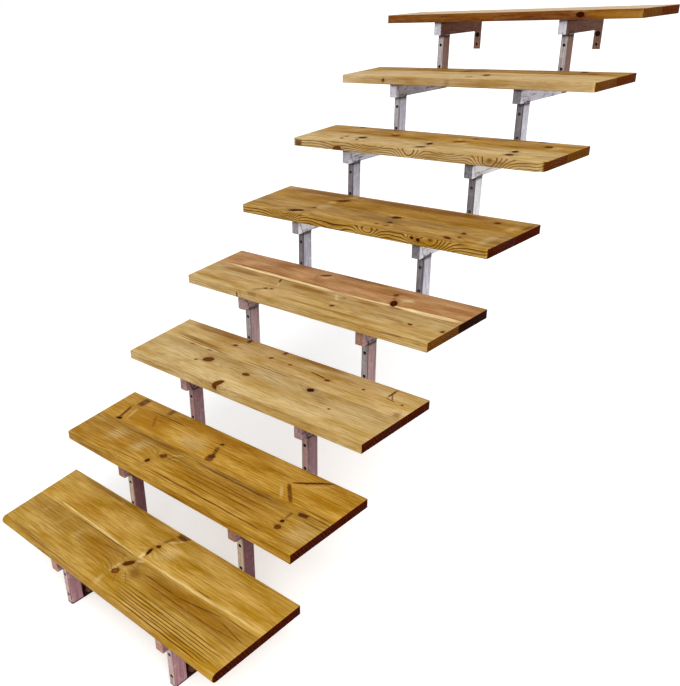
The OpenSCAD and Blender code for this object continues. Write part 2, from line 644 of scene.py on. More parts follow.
@dataclass(frozen=True)
class PineFinish:
    """Planed and treated pine with growth rings, fibres, knots, marks and cut ends.

    Sizes of the grain's cells are in millimetres along, across and up the board. Year is
    how dark the wood is through one year's growth, as positions and levels. Depth is how
    deep the colour is on average, and zones, streaks and late say how much each deepens
    it. Chipped and torn say how uneven the rims of the knots and marks are, as a share of
    their radius. A noise is its scale, detail and roughness. A span takes a value from 0
    to 1 to how strongly it shows. Varied is how far the roughness ranges.
    """

    knot_group: Tree
    mark_group: Tree
    amber: Triple = (0.66, 0.45, 0.02)
    scorch: Triple = (0.34, 0.15, 0.01)
    cream: Triple = (0.96, 0.87, 0.64)
    knot_core: Triple = (0.58, 0.36, 0.09)
    knot_rim: Triple = (0.33, 0.14, 0.02)
    knot_dark: Triple = (0.20, 0.07, 0.01)
    warp_cell: Triple = (90.0, 40.0, 40.0)
    warp: Triple = (8.0, 5.0, 3.0)
    ripple_cell: Triple = (130.0, 35.0, 35.0)
    break_cell: Triple = (70.0, 7.0, 7.0)
    fibre_cells: tuple[Triple, ...] = ((170.0, 40.0, 40.0), (110.0, 6.0, 6.0), (45.0, 2.2, 2.2))
    year: tuple[tuple[float, float], ...] = ((0.0, 0.0), (0.5, 0.1), (0.75, 0.8), (0.88, 1.0), (1.0, 0.0))
    warp_detail: float = 1.5
    ripple_noise: Triple = (1.0, 2.5, 0.55)
    fibre_noise: Triple = (1.0, 3.0, 0.6)
    chip_noise: Triple = (0.13, 2.0, 0.6)
    chipped: float = 0.6
    torn: float = 0.9
    broken: Span = (0.35, 0.65)
    depth: float = 0.45
    zones: float = 2.6
    streaks: float = 2.2
    late: float = 0.2
    lines: float = 0.9
    pale_fibres: Span = (0.42, 0.2, 0.0, 0.35)
    dark_fibres: Span = (0.46, 0.76, 0.0, 0.6)
    mottle: tuple[float, float] = (1.2, 0.4)
    whorls: float = 20.0
    whorl: float = 0.14
    knot_span: Span = (0.2, 1.05)
    black_knot: Span = (0.75, 1.0)
    end_streaks: Span = (0.35, 0.75, 0.0, 0.45)
    end_rings: float = 0.75
    bump: float = 0.4
    ring_relief: float = 0.35
    knot_relief: float = 0.6
    knot_matt: float = 0.9
    varied: float = 0.18
    roughness: float = 0.6
    specular: float = 0.08
    relief: float = 0.25 * MM

    def _points(self, bench: Bench, nose: Vector, seed: float) -> tuple[Socket, Socket]:
        """Measures a board in millimetres from its tread's nose.

        Args:
            bench: The material's bench.
            nose: Middle of the tread's nose at its underside, in metres.
            seed: Number that sets this board's own pattern.

        Returns:
            The true place, and the place gently warped as grain is.
        """
        point = bench.placed(bench.put("ShaderNodeTexCoord").outputs["Object"], tuple(nose))
        cells = bench.placed(point, (seed, seed, seed), self.warp_cell)
        wander = bench.noise(cells, detail=self.warp_detail).outputs[1]
        centred = bench.vector("SUBTRACT", wander, (0.5, 0.5, 0.5))
        return point, bench.vector("MULTIPLY_ADD", centred, self.warp, point)

    def _lay(
        self, bench: Bench, figure: BoardFigure, points: tuple[Socket, Socket], streak: Socket
    ) -> tuple[Feed, Feed, Feed]:
        """Lays a board's knots and marks.

        Args:
            bench: The material's bench.
            figure: What shows in the board.
            points: The true place, for the knots, and the warped one, for the marks.
            streak: The broad fibres, which make the marks' edges run with the grain.

        Returns:
            The Pull and Look of the knots and the Stain of the marks.
        """
        pull = look = stain_and_light = ZERO
        chips = bench.noise(points[0], *self.chip_noise).outputs[0]
        ragged = bench.linear(chips, self.chipped, -self.chipped / 2)
        torn = bench.linear(streak, self.torn, -self.torn / 2)
        for knot in figure.knots:
            feeds = {
                **self._spot(knot, points[0], (knot.wide, knot.tall or knot.wide, knot.deep)),
                "Pull": pull,
                "Look": look,
                "Ragged": ragged,
                "Dark": knot.dark,
                "Swirl": knot.swirl,
            }
            outputs = bench.put("ShaderNodeGroup", feeds, node_tree=self.knot_group).outputs
            pull, look = outputs["Pull"], outputs["Look"]
        for mark in figure.marks:
            feeds = {
                **self._spot(mark, points[1], (mark.long, mark.wide, mark.deep)),
                "Stain": stain_and_light,
                "Ragged": torn,
                "Strength": (mark.light, mark.warm, 0.0),
                "Core": 1.0 - mark.soft,
            }
            stain_and_light = bench.put("ShaderNodeGroup", feeds, node_tree=self.mark_group).outputs["Stain"]
        return pull, look, stain_and_light

    def _spot(self, spot: Knot | Mark, point: Socket, size: Triple) -> dict[str, Feed]:
        """Says where a knot or a mark lies and how large it is.

        Args:
            spot: The knot or the mark.
            point: The place that is looked up.
            size: Its whole lengths.

        Returns:
            What goes into the sockets of its node group.
        """
        turn = (0.0, 0.0, radians(spot.lean))
        half = tuple(length / 2 for length in size)
        return {"Point": point, "Centre": (spot.x, spot.y, spot.z), "Turn": turn, "Size": half}

    def _rings(self, bench: Bench, figure: BoardFigure, warped: Socket, pull: Feed) -> tuple[Socket, Socket]:
        """Draws the growth rings.

        Args:
            bench: The material's bench.
            figure: How the board was cut.
            warped: The warped place.
            pull: The knots' pull.

        Returns:
            How late in its year the wood grew, from 0 to 1, and how strong that year is.
        """
        aside, lift, _ = bench.split(pull)
        metres = bench.times(bench.split(warped)[0], MM)
        lean = bench.scaled((0.0, *figure.drift), metres)
        across = bench.vector("SUBTRACT", warped, (0.0, *figure.pith))
        across = bench.vector("SUBTRACT", across, lean)
        across = bench.vector("ADD", across, bench.combine(0.0, aside, 0.0))
        radius = bench.length(bench.vector("MULTIPLY", across, (0.0, 1.0, 1.0)))
        cells = bench.placed(warped, (figure.seed, 0.0, 0.0), self.ripple_cell)
        ripple = bench.noise(cells, *self.ripple_noise).outputs[0]
        wave = bench.linear(ripple, figure.wave, lift)
        years = bench.math("DIVIDE", bench.math("ADD", radius, wave), figure.ring)
        late = bench.ramp(bench.math("FRACT", years), self.year)
        year = bench.combine(bench.math("FLOOR", years), figure.seed, 0.0)
        vigour = bench.put("ShaderNodeTexWhiteNoise", {"Vector": year}).outputs["Value"]
        cells = bench.placed(warped, (0.0, figure.seed, 0.0), self.break_cell)
        broken = bench.span(bench.noise(cells).outputs[0], *self.broken)
        strong, whole = (
            bench.linear(share, 1.0 - figure.even, figure.even)
            for share in (bench.math("POWER", vigour, 2.0), broken)
        )
        return late, bench.times(strong, whole)

    def _long_grain(
        self, bench: Bench, figure: BoardFigure, late: Socket, fibres: list[Socket], forward: Socket
    ) -> Socket:
        """Colours the faces along the board in broad zones and soft streaks.

        Args:
            bench: The material's bench.
            figure: How the board was cut.
            late: How late in its year the wood grew.
            fibres: The zones, streaks and fine lines.
            forward: Whether the place is on the front edge, from 0 to 1.

        Returns:
            The colour without lines, knots or marks.
        """
        streaks = self.streaks * figure.contrast
        depth = bench.linear(fibres[0], self.zones, self.depth - self.zones / 2 - streaks / 2)
        depth = bench.linear(fibres[1], streaks, depth)
        depth = bench.linear(late, self.late, depth, clamp=True)
        tones = [tone.value for tone in (figure.tone, figure.edge) if tone]
        faces = [bench.blend(depth, shade(colours.pale), shade(colours.deep)) for colours in tones]
        return bench.blend(forward, *faces) if figure.edge else faces[0]

    def _stained_and_lit(self, bench: Bench, face: Socket, stain_and_light: Feed, gloom: Socket, streak: Socket) -> Socket:
        """Lays the marks' amber, dark and pale over a face's colour: mostly the wood's own
        stains, with painted sheen in some pale bands and painted shade in some dark ones.

        Args:
            bench: The material's bench.
            face: Colour without marks.
            stain_and_light: The marks' lightness and warmth.
            gloom: How dark the knots make the wood round them.
            streak: The soft streaks, which vary the marks' strength.

        Returns:
            The colour with its marks.
        """
        light, warm, _ = bench.split(stain_and_light)
        mottled = bench.linear(streak, *self.mottle)
        dark = bench.math("SUBTRACT", gloom, light)
        for strength, colour in ((warm, self.amber), (dark, self.scorch), (light, self.cream)):
            face = bench.blend(bench.times(strength, mottled, clamp=True), face, shade(colour))
        return face

    def _lined(
        self,
        bench: Bench,
        figure: BoardFigure,
        face: Socket,
        rings: tuple[Socket, Socket],
        fine: Socket,
        facing: tuple[Socket, Socket],
    ) -> Socket:
        """Draws the late wood of each year and the fine lines of the fibres over a face.

        Args:
            bench: The material's bench.
            figure: How the board was cut.
            face: Colour without lines.
            rings: How late in its year the wood grew, and how strong that year is.
            fine: The fine lines.
            facing: Whether the place is on the front edge and on the upper face.

        Returns:
            The colour with its lines.
        """
        line = shade(figure.tone.value.line)
        strength = self.lines * figure.contrast
        shown: Feed = strength
        for side, share in zip(reversed(facing), (figure.top, figure.edge_lines)):
            shown = bench.linear(side, strength * (share - 1.0), shown)
        face = bench.blend(bench.times(bench.times(*rings), shown, clamp=True), face, line)
        face = bench.blend(bench.span(fine, *self.pale_fibres), face, shade(self.cream))
        return bench.blend(bench.span(fine, *self.dark_fibres), face, line)

    def _knotted(self, bench: Bench, face: Socket, look: Feed) -> Socket:
        """Lays the knots over a face's colour.

        Args:
            bench: The material's bench.
            face: Colour without knots.
            look: The Look of the knots.

        Returns:
            The colour with its knots.
        """
        cover, depth, dark = bench.split(look)
        whorl = bench.math("SINE", bench.times(depth, self.whorls))
        rim = bench.span(bench.linear(whorl, self.whorl, depth), *self.knot_span)
        knot = bench.blend(bench.most(rim, dark), shade(self.knot_core), shade(self.knot_rim))
        knot = bench.blend(bench.span(dark, *self.black_knot), knot, shade(self.knot_dark))
        return bench.blend(cover, face, knot)

    def _end_grain(self, bench: Bench, figure: BoardFigure, late: Socket, streak: Socket) -> Socket:
        """Colours the cut ends, where the rings show as faint arcs.

        Args:
            bench: The material's bench.
            figure: How the board was cut.
            late: How late in its year the wood grew.
            streak: The soft streaks.

        Returns:
            The colour of the cut ends.
        """
        colours = figure.end.value
        pale = bench.span(streak, *self.end_streaks)
        colour = bench.blend(pale, shade(colours.deep), shade(colours.pale))
        return bench.blend(bench.times(late, self.end_rings), colour, shade(colours.line))

    def build(self, name: str, figure: BoardFigure, nose: Vector) -> Material:
        """Makes one board's material.

        Args:
            name: Name of the material.
            figure: How the board was cut and what shows in it.
            nose: Middle of its tread's nose at the underside, in metres.

        Returns:
            The material.
        """
        material, bench = new_material(name)
        seed = figure.seed
        points = self._points(bench, nose, seed)
        cells = [bench.placed(points[1], (seed, seed, 0.0), cell) for cell in self.fibre_cells]
        fibres = [bench.noise(cell, *self.fibre_noise).outputs[0] for cell in cells]
        pull, look, stain_and_light = self._lay(bench, figure, points, fibres[1])
        rings = self._rings(bench, figure, points[1], pull)
        across, along, upright = bench.split(bench.put("ShaderNodeTexCoord").outputs["Normal"])
        facing = bench.span(along, -0.5, -0.85), bench.span(upright, 0.5, 0.9)
        gloom = bench.split(pull)[2]
        face = self._long_grain(bench, figure, rings[0], fibres, facing[0])
        face = self._stained_and_lit(bench, face, stain_and_light, gloom, fibres[1])
        face = self._lined(bench, figure, face, rings, fibres[2], facing)
        face = self._knotted(bench, face, look)

        cut_end = bench.span(bench.math("ABSOLUTE", across), 0.6, 0.85)
        matt = bench.most(cut_end, bench.split(look)[0])
        height = bench.linear(rings[0], -self.ring_relief, fibres[2])
        height = bench.math("SUBTRACT", height, bench.times(gloom, self.knot_relief))
        feeds = {
            "Base Color": bench.blend(cut_end, face, self._end_grain(bench, figure, rings[0], fibres[1])),
            "Roughness": bench.linear(fibres[2], self.varied, self.roughness - self.varied / 2),
            "Specular IOR Level": bench.linear(matt, -self.knot_matt * self.specular, self.specular),
        }
        bench.surface((self.bump, self.relief, height), feeds)
        return material


# --------------------------------------------------------------------------- the treads


@dataclass(frozen=True)
class TreadFigure:
    """What shows in the two boards of one tread, which meet at a seam.

    Seam is its distance from the nose. Corner is how much the upright front right corner
    is rounded. Both are in millimetres.
    """

    front: BoardFigure
    back: BoardFigure
    seam: float = 150.0
    corner: float = 3.0


FRONT_1 = BoardFigure(
    PineTone.OLIVE_GOLD, (-280, -160), (15, 0), contrast=0.8, seed=3,
    knots=(Knot(0, 77, 23, 0, 0, 0.25, 1.6), Knot(3, 120, 20, 40, -30, 0.8, 1.8)),
    marks=(
        Mark(238, 115, 440, 72, -0.12, 0.6, warm=0.75), Mark(-95, 108, 200, 86, 0, warm=0.55),
        Mark(-330, 112, 250, 80, 0, 0.6, warm=0.35), Mark(45, 106, 70, 46, -0.45, 0.9, lean=-25, warm=0.6),
        Mark(135, 119, 170, 4.5, -0.8), Mark(265, 129, 150, 4.5, -0.8, lean=10),
        Mark(390, 122, 100, 5, -0.6, lean=-12), Mark(385, 108, 90, 4, -0.6, lean=3),
        Mark(260, 100, 370, 4, -0.5), Mark(260, 86, 390, 5, -0.5, lean=1),
        Mark(-70, 130, 150, 5, -0.5, lean=6), Mark(-120, 119, 150, 4, -0.4, lean=2),
        Mark(20, 60, 50, 4, -0.4, lean=-50), Mark(40, 80, 60, 4, -0.4, lean=-35),
        Mark(-6, 28, 26, 66, 0.3, 1, lean=14), Mark(-14, 88, 14, 60, 0.4, 0.8, lean=5),
        # The pale bands across the grain at x -385, -298 and -212 are painted sheen.
        Mark(22, 143, 30, 16, 0.5, 0.8, lean=40), Mark(-385, 110, 30, 60, 0.16, 0.9),
        Mark(-298, 110, 22, 60, 0.14, 0.9), Mark(-212, 110, 38, 60, 0.16, 0.9),
        Mark(-300, 14, 300, 24, -0.25, 0.8),
        *(Mark(240, y, 400, 3, -0.95, 0.3, lean=-0.6) for y in (10, 19, 27, 35, 44, 53, 64)),
        Mark(0, 0, 980, 30, -0.3, 0.6, z=10, deep=70), Mark(-220, 8, 460, 4, -0.4, 0.8),
        Mark(-260, 24, 360, 4, -0.3, 0.8), Mark(-155, 149, 300, 3.5, -0.9), Mark(-390, 151, 90, 3, -0.7),
        Mark(390, 149, 110, 3, -0.8),
    ),
)
BACK_1 = BoardFigure(
    PineTone.OLIVE_GOLD, (620, -40), (0, -15), contrast=0.6, seed=11,
    knots=(Knot(10, 218, 15, 0, 0, 0.85, 1.2), Knot(7, 187, 12, 34, 18, 0.9, 1.4)),
    marks=(
        Mark(-230, 160, 450, 9, 0.55, lean=-2), Mark(230, 161, 450, 9, 0.55, lean=1.5),
        Mark(4, 163, 16, 34, 0.6, 0.7, lean=10), Mark(55, 215, 80, 90, 0.3, 0.9),
        Mark(40, 268, 12, 80, 0.45, 0.8, lean=-40), Mark(34, 288, 52, 30, -0.9),
        Mark(14, 254, 16, 50, -0.6, 0.6, lean=-18), Mark(30, 219, 40, 4, -0.5),
        Mark(-290, 195, 320, 50, 0, 0.7, warm=0.5), Mark(-280, 288, 340, 18, -0.4, 0.6),
        Mark(-200, 174, 200, 4, -0.5, lean=-2), Mark(-170, 188, 150, 4, -0.35), Mark(240, 170, 70, 4, -0.8),
        Mark(180, 226, 260, 5, -0.35, lean=-2), Mark(220, 203, 220, 5, -0.35, lean=1),
        Mark(150, 250, 200, 4, -0.25),
    ),
)
FRONT_2 = BoardFigure(
    PineTone.DARK_GOLD, (-240, -200), (15, 30), ring=9, wave=14, seed=21,
    knots=(
        Knot(-113, 95, 26, 22, 25, 0.55, 1.5), Knot(-130, 50, 14, 20, 15, 0.9), Knot(348, 87, 13, dark=0.9),
        Knot(355, 62, 20, 0, 0, 0.7, 1),
    ),
    marks=(
        Mark(-315, 80, 290, 130, 0, warm=0.55), Mark(140, 85, 420, 100, 0, warm=0.45),
        # The pale bands across the grain at x -320 and -210 are painted sheen.
        Mark(-320, 88, 80, 110, 0.3, 1), Mark(-210, 88, 75, 110, 0.3, 1), Mark(135, 133, 400, 12, -0.7, 0.6),
        Mark(-200, 136, 260, 8, -0.6, 0.6, lean=2), Mark(140, 100, 400, 5, -0.7),
        Mark(150, 87, 390, 5, -0.6, lean=1), Mark(150, 70, 390, 5, -0.65),
        Mark(150, 50, 390, 5, -0.6, lean=-1), Mark(110, 25, 530, 6, -0.95),
        Mark(-200, 28, 200, 5, -0.7, lean=3), Mark(-380, 60, 120, 5, -0.5),
        Mark(-390, 100, 120, 5, -0.5, lean=3), Mark(-80, 122, 40, 8, 0.4, lean=30),
        Mark(372, 137, 34, 20, -1.2, lean=10), Mark(345, 115, 10, 40, -0.6, lean=10),
        Mark(415, 146, 80, 4.5, -1), Mark(416, 76, 96, 130, 0.25, 0.9),
    ),
)
BACK_2 = BoardFigure(
    PineTone.DARK_GOLD, (640, -40), (10, -20), contrast=0.7, seed=24,
    knots=(Knot(-395, 154, 22, 16, 20, 0.95), Knot(-28, 248, 14, 11, 30, 0.85)),
    marks=(
        Mark(-320, 205, 210, 100, 0, warm=0.8), Mark(-100, 272, 300, 46, 0, warm=0.6),
        Mark(60, 262, 180, 60, 0, warm=0.4), Mark(-110, 200, 150, 90, 0.25, 0.7),
        Mark(-268, 250, 195, 4, -1.3, 0.4), Mark(-412, 270, 36, 66, -0.9, lean=5),
        Mark(-290, 280, 28, 46, -0.7, 0.6, lean=10), Mark(-412, 195, 14, 96, -0.9, lean=22),
        Mark(-385, 200, 10, 80, 0.3, lean=22), Mark(-290, 210, 10, 80, -0.4, lean=40),
        Mark(-3, 176, 32, 44, -0.95, lean=20, warm=0.3), Mark(-14, 205, 16, 70, -0.8, lean=25),
        Mark(302, 264, 12, 128, -0.9, 0.3, lean=-53, warm=0.3), Mark(322, 258, 16, 110, 0.2, 0.9, lean=-53),
        Mark(283, 190, 14, 104, -0.8, 0.4, lean=43, warm=0.5), Mark(262, 180, 14, 80, 0.3, 0.9, lean=40),
        Mark(370, 215, 150, 110, 0, 0.8, warm=0.3), Mark(400, 160, 110, 8, -0.6),
        Mark(100, 160, 400, 5, -0.35, lean=1),
    ),
)
FRONT_3 = BoardFigure(
    PineTone.TAN, (-280, -180), (15, 0), contrast=0.5, seed=31,
    knots=(
        Knot(-205, 110, 40, 36, 20, 0.75, 1.2), Knot(-42, 105, 26, 20, swirl=1.2),
        Knot(168, 145, 25, 22, 0, 1, 1.8), Knot(-235, 85, 10, dark=0.7), Knot(275, 92, 8, dark=0.7),
        Knot(-65, 14, 26, 46, 0, 0.78, 1.2, z=25, deep=38),
    ),
    marks=(
        Mark(215, 125, 110, 40, -0.2, 0.9, lean=-28, warm=0.3), Mark(40, 130, 130, 14, -0.3, 0.8, lean=-10),
        Mark(100, 108, 180, 10, -0.2, 0.8), Mark(-350, 45, 60, 40, -0.25, 1),
        Mark(-272, 45, 50, 40, -0.25, 1), Mark(-360, 60, 50, 14, 0.3, 1), Mark(-280, 60, 50, 14, 0.3, 1),
        Mark(-330, 163, 34, 16, -0.8, 0.8, lean=20), Mark(-252, 161, 34, 16, -0.8, 0.8, lean=20),
        Mark(-140, 100, 60, 10, -0.25, 0.9, lean=-35), Mark(-205, 75, 80, 40, 0.25, 1),
        Mark(60, 40, 500, 60, 0.15, 0.9), Mark(-65, 45, 60, 30, 0.3, 1), Mark(-60, 80, 60, 12, -0.2, 1),
        Mark(0, 2, 900, 6, -0.3, z=27, deep=8),
    ),
)
BACK_3 = BoardFigure(
    PineTone.TAN, (640, -40), (0, -15), contrast=0.6, seed=35,
    knots=(
        Knot(-215, 237, 17, 14, 30, 0.75), Knot(-62, 235, 15, 12, 30, 0.75), Knot(15, 235, 12, dark=0.3),
        Knot(165, 222, 17, 14, 30, 0.8), Knot(278, 240, 9), Knot(410, 230, 8),
    ),
    marks=(
        Mark(0, 245, 920, 160, -0.1, warm=0.22), Mark(-330, 190, 280, 26, -0.45, 0.6, lean=-4, warm=0.5),
        Mark(-290, 174, 330, 6, -0.8, 0.6, lean=-3), Mark(-10, 170, 300, 6, -0.75, 0.6, lean=-1),
        Mark(150, 163, 160, 5, -0.7, 0.6, lean=-4), Mark(330, 161, 260, 5, -0.6, 0.6, lean=1),
        Mark(50, 180, 300, 20, -0.25, 0.8, warm=0.2), Mark(-325, 280, 280, 46, -0.3, warm=0.6),
        Mark(85, 288, 240, 30, -0.25, 0.6, warm=0.5), Mark(-200, 288, 20, 40, -1, 0.6, lean=8),
        Mark(-50, 290, 18, 34, -1, 0.6, lean=5), Mark(-205, 255, 14, 40, 0.35, 0.9, lean=-25),
        Mark(125, 232, 80, 8, -0.9, lean=-8), Mark(354, 268, 9, 66, -0.9, lean=3),
        Mark(366, 250, 7, 50, -0.7, lean=30), Mark(370, 234, 44, 5, -0.8, lean=-12),
        Mark(200, 200, 400, 6, -0.2, 0.8), Mark(430, 175, 30, 50, -0.5, 0.8, lean=20),
    ),
)
FRONT_4 = BoardFigure(
    PineTone.TAN, (50, -170), (10, 12), ring=7, wave=12, even=0.6, contrast=0.7, top=0.5, seed=41,
    end=EndTone.GOLDEN_BROWN,
    knots=(
        Knot(-158, 57, 16, 13, 30, 0.75), Knot(-141, 64, 12, dark=0.75), Knot(95, 62, 17, 15, 30, 0.78, 1.2),
        Knot(346, 78, 18, 11, -20, 0.78), Knot(441, 85, 12, 16, 0, 0.78),
    ),
    marks=(
        Mark(0, 75, 960, 160, 0.04, 0.2, warm=0.32), Mark(-170, 138, 9, 50, -1.2, lean=28),
        Mark(-150, 105, 9, 50, 0.5, 0.8, lean=28), Mark(-172, 38, 24, 54, -0.6, 0.8, lean=-38),
        Mark(62, 125, 14, 66, 0.6, 0.8, lean=38), Mark(85, 82, 40, 30, 0.35, 1), Mark(295, 77, 90, 6, -0.6),
        Mark(-45, 128, 190, 36, -0.25, 0.6, warm=0.6), Mark(-335, 130, 210, 36, -0.25, 0.6, warm=0.6),
        Mark(165, 135, 100, 24, -0.2, 0.7, warm=0.5), Mark(85, 132, 26, 24, -0.3, 0.8, warm=0.4),
        Mark(90, 28, 480, 18, -0.35, 0.7, warm=0.3), Mark(-330, 35, 240, 24, -0.2, 0.8, warm=0.3),
        Mark(350, 143, 200, 6, -0.6, 0.7), Mark(410, 110, 60, 60, 0.25, 1),
        Mark(-228, 0, 9, 20, -0.9, z=8, deep=24), Mark(-214, 0, 4, 20, -0.6, z=14, deep=30),
        Mark(-165, 0, 50, 20, -0.4, z=24, deep=16), Mark(340, 0, 90, 20, -0.5, z=22, deep=8),
    ),
)
BACK_4 = BoardFigure(
    PineTone.PINK_TAN, (640, -40), (0, -15), contrast=0.6, seed=45, end=EndTone.NEAR_BLACK,
    knots=(
        Knot(-85, 262, 36, 16, 35, 0.7, 1.4), Knot(190, 243, 19, 16, 40, 0.75),
        Knot(224, 181, 24, 54, 28, 0.93, 1.4),
    ),
    marks=(
        Mark(-200, 163, 560, 20, 0.9, lean=-1), Mark(180, 163, 300, 16, 0.7, lean=1),
        Mark(350, 167, 220, 28, 0.8, lean=2), Mark(-290, 182, 340, 7, -0.9, 0.6, lean=-1),
        Mark(-30, 172, 220, 6, -0.7, 0.6, lean=-3), Mark(130, 168, 160, 6, -0.7, 0.6, lean=1),
        Mark(370, 180, 170, 5, -0.6, 0.6, lean=2), Mark(-72, 240, 44, 22, 0.35, 0.9, lean=40),
        Mark(-100, 225, 8, 60, -0.4, 0.7, lean=28), Mark(-75, 200, 6, 60, -0.3, 0.8, lean=30),
        Mark(244, 222, 50, 44, 0.5, 0.9, lean=30), Mark(202, 218, 14, 60, -0.35, 0.8, lean=30),
        Mark(100, 275, 180, 60, 0, 0.7, warm=0.35), Mark(50, 288, 220, 12, -0.5, 0.6),
        Mark(390, 245, 80, 6, -0.4, 0.7), Mark(390, 203, 80, 5, -0.35, 0.7),
    ),
)
FRONT_5 = BoardFigure(
    PineTone.BROWN_TAN, (70, -150), (0, 10), ring=8.5, wave=12, even=0.9, contrast=1, top=0.25,
    edge_lines=1.5, edge=PineTone.OLIVE_GOLD, seed=51,
    knots=(
        Knot(-245, 38, 60, 28, 32, 1, 0.6), Knot(-220, 98, 20, 15, 40, 0.7),
        Knot(70, 137, 34, 30, 30, 1, 0.6), Knot(86, 81, 20, 16, 40, 0.95), Knot(97, 44, 18, 9, 20, 0.85),
        Knot(62, 46, 11, dark=0.8), Knot(322, 97, 16, 24, 30, 0.8), Knot(308, 33, 34, 18, -35, 0.85, 0.6),
        Knot(333, 55, 8, 16, 20, 0.8), Knot(60, 0, 30, 14, 0, 0, 2.6, z=12, deep=26),
        Knot(215, 0, 12, 8, 0, 0.9, 2.5, z=20, deep=9), Knot(236, 0, 13, 8, 0, 0.95, 2.5, z=17, deep=10),
        Knot(-262, 0, 34, 18, 0, 0, 3, z=24, deep=40), Knot(276, 0, 40, 20, 0, 0, 3.2, z=4, deep=60),
        Knot(-60, 0, 60, 14, 0, 0, 0.7, z=0, deep=30),
    ),
    marks=(
        Mark(-200, 128, 70, 70, 0.4, 0.9, lean=25), Mark(-225, 25, 40, 20, 0.5, 0.9, lean=30),
        Mark(50, 150, 20, 24, 0.5, 0.9), Mark(105, 60, 18, 20, 0.4, 0.9), Mark(408, 75, 40, 160, 0.28, 0.9),
        Mark(-110, 137, 130, 8, -0.5, 0.7), Mark(-350, 40, 130, 8, -0.4, 0.8, lean=-8),
        Mark(50, 50, 60, 5, -0.4), Mark(240, 45, 60, 8, -0.4, 0.8, lean=-20),
        Mark(200, 135, 300, 12, -0.25, 0.9),
    ),
)
BACK_5 = BoardFigure(
    PineTone.BROWN_TAN, (640, -40), (0, 15), contrast=0.6, seed=55,
    knots=(Knot(-195, 218, 52, 22, 38, 0.97, 1), Knot(345, 246, 20, dark=0.88)),
    marks=(
        Mark(-330, 268, 260, 46, -0.3, 0.4, warm=0.7), Mark(90, 268, 520, 46, -0.3, 0.4, warm=0.7),
        Mark(-192, 278, 44, 60, 0.5, 0.8), Mark(-212, 180, 50, 70, 0.45, 0.9, lean=20),
        Mark(-170, 195, 26, 26, 0.4, 0.9), Mark(60, 240, 7, 40, -0.3, 0.8, lean=25),
        Mark(90, 240, 7, 40, -0.3, 0.8, lean=30), Mark(408, 210, 44, 120, 0.32, 0.9),
        Mark(0, 225, 960, 160, -0.2, 0.2, warm=0.2), Mark(438, 240, 24, 100, -0.6, 0.8),
        Mark(-300, 175, 280, 5, -0.3, 0.8), Mark(100, 180, 500, 8, -0.2, 0.9),
    ),
)
FRONT_6 = BoardFigure(
    PineTone.TAN, (70, -170), (0, 10), ring=8, wave=12, even=0.8, contrast=0.9, top=0.45, edge_lines=1.7,
    seed=61, end=EndTone.RED_BROWN,
    knots=(
        Knot(-238, 110, 32, 38, 20, 0.95, 0.6), Knot(-303, 106, 18, 22, 20, 0.3),
        Knot(-294, 66, 14, 26, 35, 0.3), Knot(-232, 68, 14, 22, 35, 0.3), Knot(20, 112, 20, 44, 22, 1),
        Knot(26, 50, 32, 26, 30, 0.95), Knot(308, 112, 22, 32, 25, 0.97), Knot(316, 62, 26, 28, 30, 0.95),
        Knot(-262, 0, 38, 10, swirl=0.8, z=3, deep=26), Knot(15, 0, 40, 14, 0, 0, 3, z=4, deep=44),
        Knot(288, 0, 46, 14, 0, 0, 3, z=0, deep=50), Knot(-130, 0, 70, 14, 0, 0, 1.2, z=27, deep=30),
        Knot(150, 0, 60, 14, 0, 0, 1, z=27, deep=30),
    ),
    marks=(
        Mark(-430, 0, 40, 30, -0.8, z=10, deep=36), Mark(-265, 142, 16, 50, 0.5, 0.9, lean=30),
        Mark(-325, 132, 14, 50, 0.35, 0.9, lean=30), Mark(2, 140, 14, 40, 0.55, 0.9, lean=30),
        Mark(40, 84, 14, 30, 0.35, 0.9, lean=30), Mark(45, 20, 18, 40, 0.4, 0.9, lean=30),
        Mark(288, 140, 18, 40, 0.45, 0.9, lean=30), Mark(326, 28, 18, 40, 0.35, 0.9, lean=30),
        Mark(-410, 40, 60, 60, 0.25, 0.9), Mark(300, 0, 90, 20, -0.35, z=10, deep=26),
    ),
)
BACK_6 = BoardFigure(
    PineTone.BROWN_TAN, (640, -40), (0, 15), contrast=0.6, seed=65, end=EndTone.GOLDEN_BROWN,
    knots=(
        Knot(-163, 192, 34, 30, 0, 0.7, 1), Knot(82, 185, 44, 26, 40, 0.75, 1),
        Knot(358, 224, 26, 36, 30, 0.85), Knot(102, 256, 18, 22, 0, 0.8), Knot(-370, 287, 22, dark=0.9),
        Knot(308, 290, 26, 20, 0, 0.85),
    ),
    marks=(
        Mark(0, 205, 940, 130, -0.06, 0.3), Mark(-300, 184, 300, 18, -0.6, 0.7),
        Mark(-40, 184, 240, 14, -0.4, 0.8), Mark(240, 185, 260, 12, -0.3, 0.8),
        Mark(-185, 222, 14, 40, 0.4, 0.9, lean=30), Mark(60, 225, 16, 40, 0.4, 0.9, lean=30),
        Mark(110, 165, 40, 20, 0.35, 0.9), Mark(-110, 262, 80, 26, -0.3, 0.9),
        Mark(0, 292, 940, 12, -0.4, 0.6), Mark(385, 205, 60, 70, 0.3, 0.9),
    ),
)
FRONT_7 = BoardFigure(
    PineTone.PALE_TAN, (-300, -180), (15, 0), contrast=0.8, seed=71, end=EndTone.GOLDEN_BROWN,
    knots=(
        Knot(50, 112, 24, 60, 22, 0.75, 1.4), Knot(25, 48, 26, 22, 20, 0.35),
        Knot(-275, 0, 11, 8, 0, 0.75, deep=12),
    ),
    marks=(
        Mark(0, 0, 960, 10, -0.15, warm=0.3, deep=30), Mark(-20, 85, 14, 90, 0.4, 0.9, lean=30),
        Mark(-40, 120, 10, 80, -0.25, 0.9, lean=30), Mark(-30, 0, 30, 10, -0.3, 0.9, deep=40),
        # Painted shade: the dark band along the lower rim of the front edge.
        Mark(0, 0, 960, 6, -0.5, z=0, deep=6),
    ),
)
